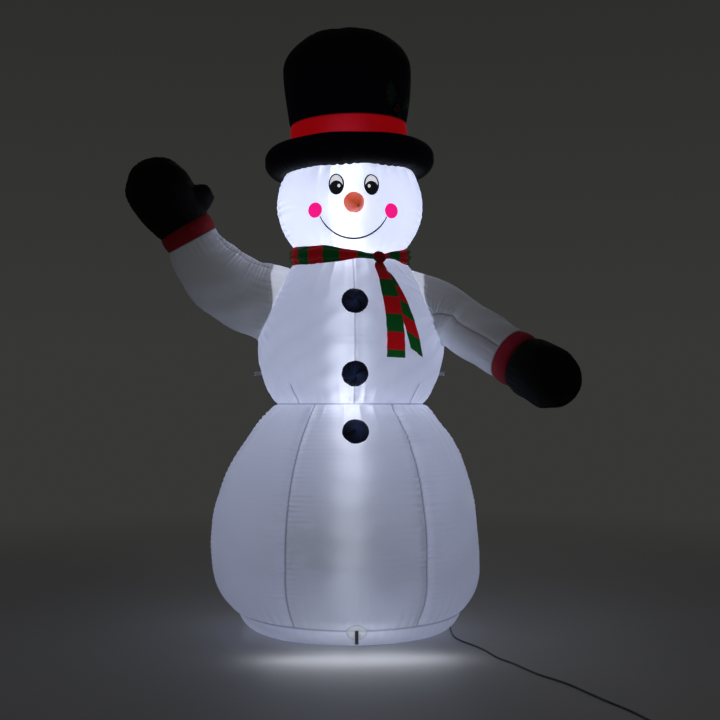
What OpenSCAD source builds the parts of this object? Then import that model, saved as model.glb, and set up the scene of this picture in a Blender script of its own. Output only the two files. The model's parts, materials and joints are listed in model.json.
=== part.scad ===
// Inflatable garden snowman, about 2.4 m tall, made of sewn fabric panels that a fan
// in the back of the base keeps full of air. A string of lamps hangs inside it.
// Millimetres. +Z is up and the front faces -Y. The origin is the middle of the flat
// part of the base, on the ground. An azimuth is counted from the front, towards +X.

/* [Lower body] */
// Radius of the belly at its widest
belly_r = 528; // [515:1:540]
// Height below which the belly curves in towards the base
belly_low_z = 250; // [245:1:255]
// Height above which the belly curves in towards the waist
belly_high_z = 340; // [330:1:360]
// Radius of the curve from the belly down to the base seam
skirt_r = 272; // [265:1:280]
// Height of the seam between the body panels and the base panel
base_seam_z = 70; // [65:1:75]
// Radius of the flat part of the base that rests on the ground
contact_r = 360; // [350:1:366]
// Thickness of every fabric wall
fabric = 2; // [1.5:0.1:2.5]

/* [Upper body] */
// Height of the waist seam
waist_z = 900; // [890:1:910]
// Radius at the waist seam
waist_r = 291; // [280:1:300]
// Height of the widest part of the chest
chest_z = 1130; // [1120:1:1140]
// Radius of the chest at its widest
chest_r = 371; // [365:1:378]
// Height of the seam at the neck
neck_z = 1487; // [1480:1:1492]
// Radius at the neck seam
neck_r = 180; // [174:1:186]

/* [Head] */
// Height of the widest part of the head
head_z = 1698; // [1690:1:1706]
// Radius of the head at its widest
head_r = 292; // [286:1:298]
// Length of the nose from the face to its tip
nose_len = 160; // [140:1:180]
// Width of the nose where it is sewn to the face
nose_w = 75; // [65:1:85]

/* [Hat] */
// Height of the seam between the head and the brim
brim_joint_z = 1820; // [1816:1:1824]
// Radius of the seam between the head and the brim
brim_joint_r = 258; // [254:1:262]
// Radius of the brim's puffy ring, to the middle of its tube
brim_ring_r = 282; // [278:1:286]
// Radius of the brim's tube
brim_tube_r = 60; // [56:1:64]
// Height of the top edge of the hat band
band_top_z = 2018; // [2008:1:2028]
// Height of the widest part of the crown
crown_z = 2234; // [2224:1:2244]
// Radius of the crown at its widest
crown_r = 256; // [250:1:262]
// Height of the domed top of the crown
hat_top_z = 2400; // [2385:1:2410]
// Sideways lean of the hat in degrees
hat_tilt = 1.7; // [0:0.1:2.5]

/* [Arms] */
// Radius of the ball shape on which each arm meets its armhole
socket_r = 156; // [154:1:158]
// Gap between an arm and the edge of its armhole
armhole_gap = 2; // [1:0.5:3]

/* [Scarf] */
// Width of the front tail
front_tail_w = 64; // [58:1:68]
// Azimuth of the knot and of the tails
knot_az = 24; // [20:1:28]
// Height of the lower end of the front tail
front_tail_end_z = 1075; // [1060:1:1090]

/* [Blower] */
// Height of the fan's axis
blower_z = 290; // [285:1:295]
// Outer radius of the fan housing
housing_r = 80; // [78:1:82]
// Radius of the flange that clamps the fabric
flange_r = 98; // [95:1:100]
// Number of fan blades
blades = 7; // [5:1:9]

/* [Lamps] */
// Number of lamps on the string
lamps = 8; // [6:1:9]
// Distance between two lamps
lamp_pitch = 225; // [200:1:230]

/* [Mains lead] */
// Diameter of the mains lead
lead_d = 6.5; // [6:0.1:6.5]

/* [Hidden] */

snow = "white";
felt_black = "#1c1c20";
felt_red = "#b01020";
leaf_green = "#0c5a2c";
far = 1000;
patch_gap = 0.2;
gore_count = 6;
$fn = 96;

// ---- Outlines ----

// Points of an elliptical arc, from one angle to the other
function arc(c, rx, ry, a0, a1, n) =
    [for (i = [0:n]) let (a = a0 + (a1 - a0) * i / n) [c[0] + rx * cos(a), c[1] + ry * sin(a)]];

// Two runs of points, where the second starts on the first one's last point
function join(a, b) = concat(a, [for (i = [1:len(b) - 1]) b[i]]);

function reversed(p) = [for (i = [len(p) - 1:-1:0]) p[i]];

// An outline moved inwards by t. Its ends move along e0 and e1, so panels meet face to face
function inset(p, t, e0 = [-1, 0], e1 = [-1, 0]) =
    let (n = len(p) - 1)
    [for (i = [0:n])
        i == 0 ? p[0] + t * e0
        : i == n ? p[n] + t * e1
        : let (d = p[i + 1] - p[i - 1]) p[i] + t * [-d[1], d[0]] / norm(d)];

// Half height of an ellipse that has radius r at its middle and radius r_end at height h
function ellipse_h(r, r_end, h) = h / sqrt(1 - pow(r_end / r, 2));

seam_drop_a = asin((belly_low_z - base_seam_z) / skirt_r);
seam_r = belly_r - skirt_r + skirt_r * cos(seam_drop_a);
lower_outline = join(
    arc([belly_r - skirt_r, belly_low_z], skirt_r, skirt_r, -seam_drop_a, 0, 8),
    concat([[belly_r, belly_low_z]], arc([0, belly_high_z], belly_r,
        ellipse_h(belly_r, waist_r, waist_z - belly_high_z), 0, acos(waist_r / belly_r), 12)));

base_curve_r = (pow(seam_r - contact_r, 2) + pow(base_seam_z, 2)) / (2 * base_seam_z);
base_outline = concat([[0, 0]], arc([contact_r, base_curve_r], base_curve_r, base_curve_r,
    -90, asin(base_seam_z / base_curve_r - 1), 7));

chest_low_h = ellipse_h(chest_r, waist_r, chest_z - waist_z);
chest_high_h = ellipse_h(chest_r, neck_r, neck_z - chest_z);
torso_outline = join(
    arc([0, chest_z], chest_r, chest_low_h, -acos(waist_r / chest_r), 0, 8),
    arc([0, chest_z], chest_r, chest_high_h, 0, acos(neck_r / chest_r), 10));

// The head runs on a little above its seam, and the hat's tilted plane cuts it there
head_over = 12;
head_low_h = ellipse_h(head_r, neck_r, head_z - neck_z);
head_high_h = ellipse_h(head_r, brim_joint_r, brim_joint_z - head_z);
head_outline = join(
    arc([0, head_z], head_r, head_low_h, -acos(neck_r / head_r), 0, 8),
    arc([0, head_z], head_r, head_high_h, 0, asin((brim_joint_z + head_over - head_z) / head_high_h), 6));

joint_a = acos((brim_joint_r - brim_ring_r) / brim_tube_r);
brim_z = brim_joint_z + brim_tube_r * sin(joint_a);
band_a = 159;
band_low = [brim_ring_r + brim_tube_r * cos(band_a) + fabric, brim_z + brim_tube_r * sin(band_a)];
brim_low_outline = arc([brim_ring_r, brim_z], brim_tube_r, brim_tube_r, -joint_a, 0, 9);
brim_high_outline = arc([brim_ring_r, brim_z], brim_tube_r, brim_tube_r, 0, band_a, 12);

// The crown narrows downwards from its widest height
crown_pinch = 0.000525;
function crown_at(z) = crown_r - crown_pinch * pow(crown_z - z, 2);
band_outline = [band_low, [crown_at(band_top_z), band_top_z]];
crown_wall = [for (i = [0:6]) let (z = band_top_z + (crown_z - band_top_z) * i / 6) [crown_at(z), z]];
crown_outline = join(crown_wall, arc([0, crown_z], crown_r, hat_top_z - crown_z, 0, 90, 12));

function torso_at(z) = let (h = z < chest_z ? chest_low_h : chest_high_h)
    chest_r * sqrt(1 - pow((z - chest_z) / h, 2));

// ---- Shared shapes ----

// Puts its children at an azimuth, where -Y is outwards
module at_azimuth(a, r = 0, z = 0) rotate([0, 0, a]) translate([0, -r, z]) children();

// One sewn panel of a round shell, between two azimuths
module panel(outline, from, to, e0 = [-1, 0], e1 = [-1, 0])
    rotate([0, 0, from - 90])
        rotate_extrude(angle = to - from)
            polygon(concat(outline, reversed(inset(outline, fabric, e0, e1))));

// The full round solid inside an outline, grown by g
module core(outline, g = 0) rotate_extrude($fn = 360) polygon(concat(
    [[0, outline[0][1]]], inset(outline, -g), [[0, outline[len(outline) - 1][1]]]));

// A thin layer that lies on an outline's surface, from t0 to t1 above it
module skin(outline, t0, t1) rotate_extrude($fn = 240)
    polygon(concat(inset(outline, -t0), reversed(inset(outline, -t1))));

// A flat shape pushed outwards along an azimuth, to cut a patch from a skin
module push_out(a, z) at_azimuth(a) translate([0, 0, z]) rotate([90, 0, 0])
    linear_extrude(far) children();

module hat_frame() translate([0, 0, brim_joint_z]) rotate([0, -hat_tilt, 0])
    translate([0, 0, -brim_joint_z]) children();

module oval(w, h) polygon([for (a = [0:7.5:352.5]) [w / 2 * cos(a), h / 2 * sin(a)]]);

// Points on a smooth curve through p, with n steps between two points
function blend_of(a, b, c, d, t) = 0.5 * (2 * b + (c - a) * t
    + (2 * a - 5 * b + 4 * c - d) * t * t + (3 * b - a - 3 * c + d) * t * t * t);
function smooth(p, n) = let (m = len(p) - 1)
    concat([for (i = [0:m - 1], k = [0:n - 1])
        blend_of(p[max(i - 1, 0)], p[i], p[i + 1], p[min(i + 2, m)], k / n)], [p[m]]);

function unit(v) = v / norm(v);
function step_at(p, i) = unit(p[min(i + 1, len(p) - 1)] - p[max(i - 1, 0)]);
function flatten_to(v, d) = unit(v - (v * d) * d);

// A ring of points about c, square to d, with side u
function ring(c, d, u, r, n) = let (v = cross(d, u))
    [for (k = [0:n - 1]) c + r * (cos(360 * k / n) * u + sin(360 * k / n) * v)];

// The side faces between rows of n points each, and one end face
function side_faces(rows, n) = [for (i = [0:rows - 2], k = [0:n - 1])
    let (a = i * n + k, b = i * n + (k + 1) % n) each [[a, b, a + n], [b, b + n, a + n]]];
function low_end(n) = [for (k = [1:n - 2]) [0, k + 1, k]];
function high_end(rows, n) = let (s = (rows - 1) * n) [for (k = [1:n - 2]) [s, s + k, s + k + 1]];

// A closed solid through a list of rings
module loft(rings) {
    n = len(rings[0]);
    rows = len(rings);
    polyhedron([for (r = rings) each r],
        [for (f = concat(side_faces(rows, n), low_end(n), high_end(rows, n))) reversed(f)]);
}

// A tube of radius r swept along a route
function turned(p, u0) = [for (i = 0, u = u0; i < len(p);
    i = i + 1, u = i < len(p) ? flatten_to(u, step_at(p, i)) : u) flatten_to(u, step_at(p, i))];
module tube(p, r, sides, u0) {
    side = turned(p, u0);
    loft([for (i = [0:len(p) - 1]) ring(p[i], step_at(p, i), side[i], r, sides)]);
}

// ---- Lower body ----

module gore(i) {
    from = 360 / gore_count * (i - 0.5);
    color(snow) difference() {
        panel(lower_outline, from, from + 360 / gore_count);
        at_blower(housing_r * 5) cylinder(r = housing_r + 0.5, h = far);
        housing_screw_places(0) cylinder(r = screw_r + 0.2, h = far);
        at_azimuth(zip_az, belly_r, zip_mid_z) cube([4, 40, zip_len - 20], center = true);
    }
}

module base_panel() color(snow) panel(base_outline, -180, 180, [0, 1], [-1, 0]);

// ---- Upper body ----

shoulder_left = [-308, -4, 1299];
shoulder_right = [306, -30, 1290];

// Centre and radius of the balls that cut each armhole. The second one on the right leaves
// room beneath the lowered arm
left_armhole = [[shoulder_left, socket_r]];
right_armhole = [[shoulder_right, socket_r], [[318, -46, 1272], 153]];

module torso_panel(from, to, armholes) color(snow) difference() {
    panel(torso_outline, from, to);
    for (ball = armholes) translate(ball[0]) sphere(r = ball[1]);
}
module torso_front_left() torso_panel(-90, 0, left_armhole);
module torso_front_right() torso_panel(0, 90, right_armhole);
module torso_back() torso_panel(90, 270, concat(left_armhole, right_armhole));

// ---- Head and face ----

face_half_az = 80;

module head_panel(from, to) color(snow) difference() {
    panel(head_outline, from, to);
    hat_frame() translate([0, 0, brim_joint_z + 50]) cube([far, far, 100], center = true);
}
module head_front() head_panel(-face_half_az, face_half_az);
module head_back() head_panel(face_half_az, 360 - face_half_az);

// A pair of patches on the face, at -x and +x, lying from t0 to t1 above it
module face_pair(x, z, t0, t1) intersection() {
    skin(head_outline, t0, t1);
    for (s = [-1, 1]) translate([s * x, 0, z]) rotate([90, 0, 0]) linear_extrude(far) children();
}
eye_x = 67;
eye_z = 1735;
module eye_whites() color("white") face_pair(eye_x, eye_z, patch_gap, 1.2) oval(55, 77);
module pupils() color("#2b2e36") face_pair(eye_x, eye_z - 11, 1.4, 2.4) oval(47, 51);
module cheeks() color("#e0529a") face_pair(146, 1641, patch_gap, 1.2) circle(d = 53);

mouth_r = 143;
mouth_z = 1677;
mouth_line = 4.5;
mouth_half_a = 65;
module mouth() color("#30323a") intersection() {
    skin(head_outline, patch_gap, 1.2);
    push_out(0, mouth_z) polygon(concat(
        arc([0, 0], mouth_r, mouth_r, -90 - mouth_half_a, -90 + mouth_half_a, 26),
        reversed(arc([0, 0], mouth_r - mouth_line, mouth_r - mouth_line,
            -90 - mouth_half_a, -90 + mouth_half_a, 26))));
}

nose_z = 1664;
nose_droop = 14;
nose_turn = 3;
nose_sunk = 25;
// The carrot's radius falls slowly at first and then quickly near its tip
function nose_at(t) = nose_w / 2 * pow(1 - t, 0.72) + 1.5;
nose_outline = [for (i = [0:8]) let (t = i / 8) [nose_at(t), nose_sunk + nose_len * t]];
module nose() color("darkorange") difference() {
    translate([0, -head_r, nose_z]) rotate([90 + nose_droop, 0, nose_turn])
        translate([0, 0, -nose_sunk]) rotate_extrude() difference() {
            polygon(concat([[0, 0], [nose_at(0), 0]], nose_outline, [[0, nose_sunk + nose_len]]));
            polygon(concat([[0, -1], [nose_at(0) - fabric, -1]],
                [for (i = [0:7]) nose_outline[i] - [fabric, 0]],
                [[0, nose_sunk + nose_len * 7 / 8]]));
        }
    core(head_outline, patch_gap);
}

// ---- Hat ----

module brim_lower() color(felt_black) hat_frame() panel(brim_low_outline, -180, 180);
module brim_upper() color(felt_black) hat_frame() panel(brim_high_outline, -180, 180, [-1, 0], [1, 0]);
module hat_band() color(felt_red) hat_frame() panel(band_outline, -180, 180);
module hat_crown() color(felt_black) hat_frame() panel(crown_outline, -180, 180, [-1, 0], [0, -1]);

holly_az = 47;
holly_z = 2048;
// Length, greatest width, lean from upright and azimuth of each leaf
leaf_set = [[100, 58, 6, -6], [104, 56, -52, 10], [52, 36, -150, 5]];
leaf_spines = 4;
function leaf_edge(len, w) = [for (i = [0:16]) let (t = i / 16)
    [w / 2 * sin(180 * t) * (0.82 + 0.18 * cos(360 * leaf_spines * t)), len * t]];
module leaf_shape(len, w) {
    edge = leaf_edge(len, w);
    polygon(concat(edge, [for (i = [len(edge) - 2:-1:1]) [-edge[i][0], edge[i][1]]]));
}
module holly_leaves() color(leaf_green) hat_frame() for (leaf = leaf_set) intersection() {
    skin(crown_outline, patch_gap, 2.2);
    push_out(holly_az + leaf[3], holly_z) rotate(leaf[2]) translate([0, 4]) leaf_shape(leaf[0], leaf[1]);
}
berry_r = 8;
module holly_berries() color(felt_red) hat_frame() for (k = [0:2])
    at_azimuth(holly_az + 2.6 * cos(120 * k + 90), crown_at(holly_z) + berry_r + 3.5,
        holly_z + 9 * sin(120 * k + 90)) sphere(r = berry_r);

// ---- Buttons ----

button_r = 50;
button_h = 34;
// Height, radius of the body there, and upward slope of the surface's normal
button_places = [[1284, torso_at(1284), 20], [1016, torso_at(1016), -18], [795, 388, 36]];
module buttons() color(felt_black) difference() {
    for (b = button_places) translate([0, -b[1], b[0]]) rotate([90 - b[2], 0, 0])
        translate([0, 0, -6]) rotate_extrude() polygon(concat([[0, 0]],
            arc([button_r - button_h / 2, button_h / 2], button_h / 2, button_h / 2, -90, 90, 8),
            [[0, button_h + 3]]));
    core(torso_outline, patch_gap);
    core(lower_outline, patch_gap);
}

// ---- Scarf ----

wrap_r = 233;
wrap_t = 10;
wrap_mid_z = 1488;
wrap_w = 62;
wrap_tilt = 3.5;
module scarf_wrap() color(felt_red) difference() {
    translate([0, -11, wrap_mid_z]) rotate([wrap_tilt, 0, 0]) rotate_extrude()
        polygon([[wrap_r - wrap_t, -wrap_w / 2], [wrap_r, -wrap_w / 2], [wrap_r + 3, 0],
            [wrap_r - 4, wrap_w / 2], [wrap_r - wrap_t, wrap_w / 2]]);
    core(torso_outline, 0.6);
    core(head_outline, 0.6);
}

knot_z = 1464;
knot_r = 24;
knot_back_r = 249;
module scarf_knot() color(leaf_green) at_azimuth(knot_az - 1, knot_back_r, knot_z)
    rotate([90, 0, 0]) cylinder(r = knot_r, h = 22);

tail_top_z = 1418;
tail_t = 3;
module scarf_front_tail() color(felt_red) intersection() {
    skin(torso_outline, tail_t + 3, 2 * tail_t + 3);
    push_out(knot_az, 0) translate([-front_tail_w / 2, front_tail_end_z])
        square([front_tail_w, tail_top_z - front_tail_end_z]);
}
// The rear tail slants outwards from beneath the front tail
rear_tail_shape = [[-31, tail_top_z], [24, tail_top_z], [129, 1105], [75, 1087], [-31, 1402]];
module scarf_rear_tail() color(leaf_green) intersection() {
    skin(torso_outline, 1, 1 + tail_t);
    push_out(knot_az, 0) polygon(rear_tail_shape);
}

// ---- Arms ----

arm_sides = 32;
socket_ring_r = socket_r - armhole_gap;

// Centre and radius of each ring along a sleeve and its cuff, from the armhole, and the way
// that a ring faces where it isn't square to the arm
waving_arm = [[shoulder_left, socket_ring_r, [-0.915, 0, 0.403]], [[-355, -1, 1314], 150], [[-408, -3, 1333], 146],
    [[-471, -8, 1366], 142], [[-530, -14, 1410], 138], [[-573, -21, 1455], 128],
    [[-602, -31, 1500], 115], [[-629, -40, 1549], 104], [[-660, -50, 1605], 104]];
lowered_arm = [[shoulder_right, socket_ring_r, [0.915, -0.09, 0.394]],
    [[414, -100, 1230], 113, [0.85, -0.42, -0.3]], [[458, -138, 1194], 108], [[533, -198, 1142], 107], [[600, -257, 1090], 102],
    [[646, -298, 1057], 102]];

// Distance along the mitten and radius there, from the cuff to the tip
waving_hand = [[0, 104], [45, 118], [100, 130], [171, 134], [230, 120], [268, 90], [292, 52], [303, 12]];
lowered_hand = [[0, 102], [35, 112], [100, 119], [160, 112], [205, 88], [236, 52], [252, 14]];
waving_hand_way = unit([-0.579, -0.118, 0.806]);
lowered_hand_way = unit([0.675, -0.581, -0.455]);
thumb = [[[-690, -62, 1690], 62], [[-625, -62, 1722], 52], [[-580, -62, 1748], 34], [[-560, -62, 1760], 14]];

function side_of(d) = unit(cross(d, [0, 1, 0]));

// The way that a station of an arm faces
function arm_way(arm, i) = len(arm[i]) > 2 ? unit(arm[i][2]) : step_at([for (s = arm) s[0]], i);

// Rings of an arm, from station i0 to i1, made smaller by t
function arm_rings(arm, i0, i1, t) = [for (i = [i0:i1]) let (d = arm_way(arm, i))
    ring(arm[i][0], d, side_of(d), arm[i][1] - t, arm_sides)];

// An open fabric tube between two stations of an arm
module arm_tube(arm, i0, i1) {
    outer = arm_rings(arm, i0, i1, 0);
    inner = arm_rings(arm, i0, i1, fabric);
    n = arm_sides;
    rows = len(outer);
    gap = rows * n;
    ends = [for (k = [0:n - 1]) let (a = k, b = (k + 1) % n, s = gap - n)
        each [[a, b, a + gap], [b, b + gap, a + gap],
            [s + a, s + a + gap, s + b], [s + b, s + a + gap, s + b + gap]]];
    walls = side_faces(rows, n);
    polyhedron([for (r = concat(outer, inner)) each r],
        concat([for (f = walls) reversed(f)], [for (f = walls) [for (v = f) v + gap]], ends));
}

// Rings of a mitten from its last cuff station on, made smaller by t
function hand_rings(arm, hand, way, t) = let (m = len(arm) - 1, start = arm[m][0])
    [for (i = [0:len(hand) - 1]) let (d = i == 0 ? arm_way(arm, m) : way)
        ring(start + way * (hand[i][0] - (i > 0 ? t : 0)), d, side_of(d), max(hand[i][1] - t, 1), arm_sides)];

function thumb_rings(t) = let (p = [for (s = thumb) s[0]])
    [for (i = [0:len(thumb) - 1]) let (d = step_at(p, i))
        ring(p[i] - t * d, d, side_of(d), thumb[i][1] - t, arm_sides)];

sleeve_end = len(waving_arm) - 2;
module waving_sleeve() color("gainsboro") arm_tube(waving_arm, 0, sleeve_end);
module waving_cuff() color(felt_red) arm_tube(waving_arm, sleeve_end, sleeve_end + 1);
module waving_mitten() color(felt_black) difference() {
    union() {
        loft(hand_rings(waving_arm, waving_hand, waving_hand_way, 0));
        loft(thumb_rings(0));
    }
    loft(hand_rings(waving_arm, waving_hand, waving_hand_way, fabric));
    loft(thumb_rings(fabric));
}

lowered_sleeve_end = len(lowered_arm) - 2;
module lowered_sleeve() color("gainsboro") arm_tube(lowered_arm, 0, lowered_sleeve_end);
module lowered_cuff() color(felt_red)
    arm_tube(lowered_arm, lowered_sleeve_end, lowered_sleeve_end + 1);
module lowered_mitten() color(felt_black) difference() {
    loft(hand_rings(lowered_arm, lowered_hand, lowered_hand_way, 0));
    loft(hand_rings(lowered_arm, lowered_hand, lowered_hand_way, fabric));
}

// ---- Tethers ----

eye_out_r = 5;
eye_in_r = 3.6;
side_tether_z = 1022;

// A folded webbing loop along +X, with an eye for a rope at its far end
module tether_loop(len, w) linear_extrude(w, center = true) difference() {
    hull() {
        translate([len - eye_out_r, 0]) circle(r = eye_out_r, $fn = 32);
        translate([0, -1.5]) square([1, 3]);
    }
    hull() {
        translate([len - eye_out_r, 0]) circle(r = eye_in_r, $fn = 32);
        translate([len * 0.45, 0]) circle(r = 0.6, $fn = 16);
    }
}
module side_tethers() color("silver") difference() {
    for (s = [0, 1]) mirror([s, 0, 0])
        translate([torso_at(side_tether_z) - 3.6, 0, side_tether_z]) tether_loop(36, 16);
    core(torso_outline, patch_gap);
}

module base_tethers() color("dimgray") for (a = [0, 180])
    at_azimuth(a, seam_r + 3, base_seam_z - 1) rotate([0, 90, 0]) tether_loop(46, 12.5);

patch_r = 38;
module base_patches() color("lightgray") for (a = [0, 180]) intersection() {
    skin(lower_outline, patch_gap, 1.2);
    at_azimuth(a, seam_r, base_seam_z) rotate([90 + seam_drop_a, 0, 0])
        translate([0, 0, -60]) cylinder(r = patch_r, h = 120);
}

// ---- Blower ----

screw_r = 2;
housing_in = 425;
housing_out = 534;
bore_r = housing_r - 3;

// Puts its children on the fan's axis, at a distance from the middle, pointing backwards
module at_blower(y) translate([0, y, blower_z]) rotate([-90, 0, 0]) children();

module housing_screw_places(y) for (k = [0:3])
    at_blower(y) rotate([0, 0, 45 + 90 * k]) translate([(flange_r + housing_r) / 2, 0, 0]) children();

boss_y = 539;
boss_low_z = 184;
module blower_housing() color("#3a3d42") difference() {
    union() {
        at_blower(housing_in) cylinder(r = housing_r, h = housing_out - housing_in);
        difference() {
            union() {
                at_blower(500) cylinder(r = flange_r, h = housing_out - 500);
                translate([-14, 500, boss_low_z]) cube([28, boss_y + 10 - 500, 26]);
            }
            core(lower_outline, 0.3);
        }
    }
    at_blower(housing_in - 1) cylinder(r = bore_r, h = 200);
    housing_screw_places(490) cylinder(r = screw_r + 0.2, h = 100);
}

module clamp_ring() color("#3a3d42") difference() {
    intersection() {
        at_blower(498) cylinder(r = flange_r, h = 40);
        core(lower_outline, -fabric - 0.3);
    }
    at_blower(400) cylinder(r = housing_r + 0.4, h = 200);
    housing_screw_places(490) cylinder(r = screw_r + 0.05, h = 100);
}

module housing_screws() color("silver") housing_screw_places(505) {
    cylinder(r = screw_r, h = housing_out - 505);
    translate([0, 0, housing_out - 505]) cylinder(r = 4, h = 2.4);
}

// A round guard with rings and spokes, pitch apart
module guard(r, pitch, h) linear_extrude(h) {
    difference() {
        circle(r = r);
        circle(r = r - 3);
    }
    for (q = [pitch:pitch:r - pitch / 2]) difference() {
        circle(r = q + 1.5);
        circle(r = q - 1.5);
    }
    for (k = [0:5]) rotate(60 * k) translate([0, -1.5]) square([r - 1, 3]);
}
guard_t = 4;
module intake_grille() color("#2c2e32") at_blower(housing_out - guard_t) guard(bore_r - 0.1, 10, guard_t);
module outlet_guard() color("#2c2e32") at_blower(housing_in) guard(bore_r - 0.1, 15, guard_t);

motor_r = 30;
shaft_r = 3;
impeller_mid = 507;
module motor() color("silver") difference() {
    union() {
        at_blower(440) cylinder(r = motor_r, h = 48);
        at_blower(488) cylinder(r = 10, h = 4);
    }
    at_blower(469.5) cylinder(r = shaft_r + 0.05, h = 30);
}
module motor_shaft() color("gainsboro") at_blower(470) cylinder(r = shaft_r, h = 51);
module motor_bracket() color("#3a3d42") at_blower(450) linear_extrude(8) {
    difference() {
        circle(r = motor_r + 4);
        circle(r = motor_r + 0.05);
    }
    difference() {
        circle(r = bore_r - 0.1);
        circle(r = bore_r - 3);
    }
    for (k = [0:2]) rotate(120 * k + 90) translate([motor_r + 2, -5]) square([bore_r - motor_r - 4, 10]);
}
blade_pitch = 35;
module impeller() color("black") at_blower(impeller_mid) difference() {
    union() {
        translate([0, 0, -9]) cylinder(r = 16, h = 18);
        intersection() {
            cylinder(r = bore_r - 4, h = 40, center = true);
            for (k = [0:blades - 1]) rotate([0, 0, 360 / blades * k]) translate([14, 0, 0])
                rotate([blade_pitch, 0, 0]) translate([0, -15, -1.2]) cube([bore_r, 30, 2.4]);
        }
    }
    cylinder(r = shaft_r, h = 80, center = true);
}

gland_low_z = 154;
module cable_gland() color("black") translate([0, boss_y, gland_low_z])
    cylinder(r1 = 5, r2 = 8.5, h = boss_low_z - gland_low_z);

// ---- Lamps ----

led_lead_r = 2.5;
led_low_z = 440;
led_top_z = 2372;
led_first_z = 560;
function led_at(z) = [-(led_top_z - brim_joint_z) * sin(hat_tilt) * (z - led_low_z) / (led_top_z - led_low_z), 0, z];
led_route = concat(smooth([[0, 424, 330], [0, 395, 329], [0, 330, 318], [0, 250, 300], [0, 170, 284],
    [0, 95, 284], [0, 35, 318], [0, 6, 380], [0, 0, led_low_z]], 2), [led_at(led_top_z)]);
module led_lead() color("white") tube(led_route, led_lead_r, 8, [1, 0, 0]);

module lamp_places() for (i = [0:lamps - 1])
    translate(led_at(led_first_z + lamp_pitch * i)) rotate([0, 0, 90 * i]) rotate([0, 90, 0]) children();
module led_sockets() color("white") lamp_places() translate([0, 0, led_lead_r + 0.2]) cylinder(r = 8, h = 20);
module led_bulbs() color("ivory") lamp_places() translate([0, 0, led_lead_r + 20.2]) {
    cylinder(r = 7, h = 12);
    translate([0, 0, 16]) sphere(r = 11);
}
module led_hanger() color("white") hat_frame()
    translate([-8, -0.8, led_top_z + 1]) cube([16, 1.6, hat_top_z - led_top_z - fabric - 1.5]);

// ---- Zip ----

zip_az = -150;
zip_len = 190;
zip_mid_z = 310;
tape_out = belly_r + 2;
tooth_pitch = 5;
slider_z = zip_mid_z + zip_len / 2 - 14;
pull_axis = tape_out + 8.5;
module zip_tape() color("black") difference() {
    at_azimuth(zip_az, tape_out - 5, zip_mid_z) cube([30, 10, zip_len], center = true);
    core(lower_outline, patch_gap);
}
module zip_teeth() color("#303030") at_azimuth(zip_az, tape_out + 1, zip_mid_z)
    for (i = [-17:17]) translate([0, 0, i * tooth_pitch]) {
        translate([-3, -1, -1.2]) cube([3.4, 2, 2.4]);
        translate([-0.4, -1, 1.3]) cube([3.4, 2, 2.4]);
    }
module zip_slider() color("silver") at_azimuth(zip_az, 0, slider_z) {
    difference() {
        translate([-7, -tape_out - 5.5, -9]) cube([14, 5.2, 18]);
        translate([-3.7, -tape_out - 2.6, -10]) cube([7.4, 3, 20]);
    }
    for (s = [-1, 1]) translate([s * 5 - 1, -tape_out - 10, -2]) cube([2, 5, 4]);
    translate([-5, -pull_axis, 0]) rotate([0, 90, 0]) cylinder(r = 1, h = 10);
}
module zip_pull() color("silver") at_azimuth(zip_az, pull_axis, slider_z) difference() {
    union() {
        rotate([0, 90, 0]) cylinder(r = 2.6, h = 7, center = true);
        translate([-3.5, -1, -10]) cube([7, 2, 10]);
        translate([-5, -1, -34]) cube([10, 2, 25]);
    }
    rotate([0, 90, 0]) cylinder(r = 1.08, h = 20, center = true);
    translate([0, 0, -27]) rotate([90, 0, 0]) cylinder(r = 2.6, h = 10, center = true);
}

// ---- Mains lead ----

lead_r = lead_d / 2;
floor_z = 3.3;
coil_at = [845, -1660];
coil_mid_r = 39;
coil_half_w = 13.4;
coil_low_z = 1.2;
coil_h = 13.4;
tie_t = 1;
// Route of the lead: down from the gland, round the right of the base, and away in front
lead_route = [[0, boss_y, gland_low_z], [0, 539, 120], [1, 542, 82], [6, 549, 46], [20, 558, 20],
    [44, 566, 7], [80, 570, floor_z], [135, 563, floor_z], [200, 543, floor_z], [265, 510, floor_z],
    [325, 462, floor_z], [376, 402, floor_z], [414, 332, floor_z], [434, 258, floor_z],
    [437, 185, floor_z], [427, 115, floor_z], [412, 48, floor_z], [402, -20, floor_z],
    [396, -92, floor_z], [391, -165, floor_z], [390, -245, floor_z], [408, -328, floor_z],
    [438, -408, floor_z], [463, -490, floor_z], [476, -562, floor_z], [492, -640, floor_z],
    [529, -735, floor_z], [556, -828, floor_z], [584, -912, floor_z], [632, -1012, floor_z],
    [660, -1092, floor_z], [684, -1180, floor_z], [716, -1290, floor_z], [746, -1380, floor_z],
    [768, -1480, floor_z], [786, -1560, floor_z], [795, -1612, 4], [796, -1638, 4.5]];
module power_lead() color("#18181a") tube(smooth(lead_route, 2), lead_r, 8, [1, 0, 0]);

module power_coil() color("#18181a") translate([coil_at[0], coil_at[1], coil_low_z]) rotate_extrude()
    translate([coil_mid_r - coil_half_w, 0]) square([2 * coil_half_w, coil_h]);

module coil_tie() color("#28282a") translate([coil_at[0], coil_at[1] - coil_mid_r, 0]) rotate([0, 90, 0])
    linear_extrude(8, center = true) difference() {
        translate([-coil_low_z - coil_h - 0.3 - tie_t, -coil_half_w - 0.6 - tie_t])
            square([coil_low_z + coil_h + 0.3 + tie_t, 2 * (coil_half_w + 0.6 + tie_t)]);
        translate([-coil_low_z - coil_h - 0.3, -coil_half_w - 0.6])
            square([coil_low_z + coil_h + 0.3 - tie_t, 2 * (coil_half_w + 0.6)]);
    }

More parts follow.
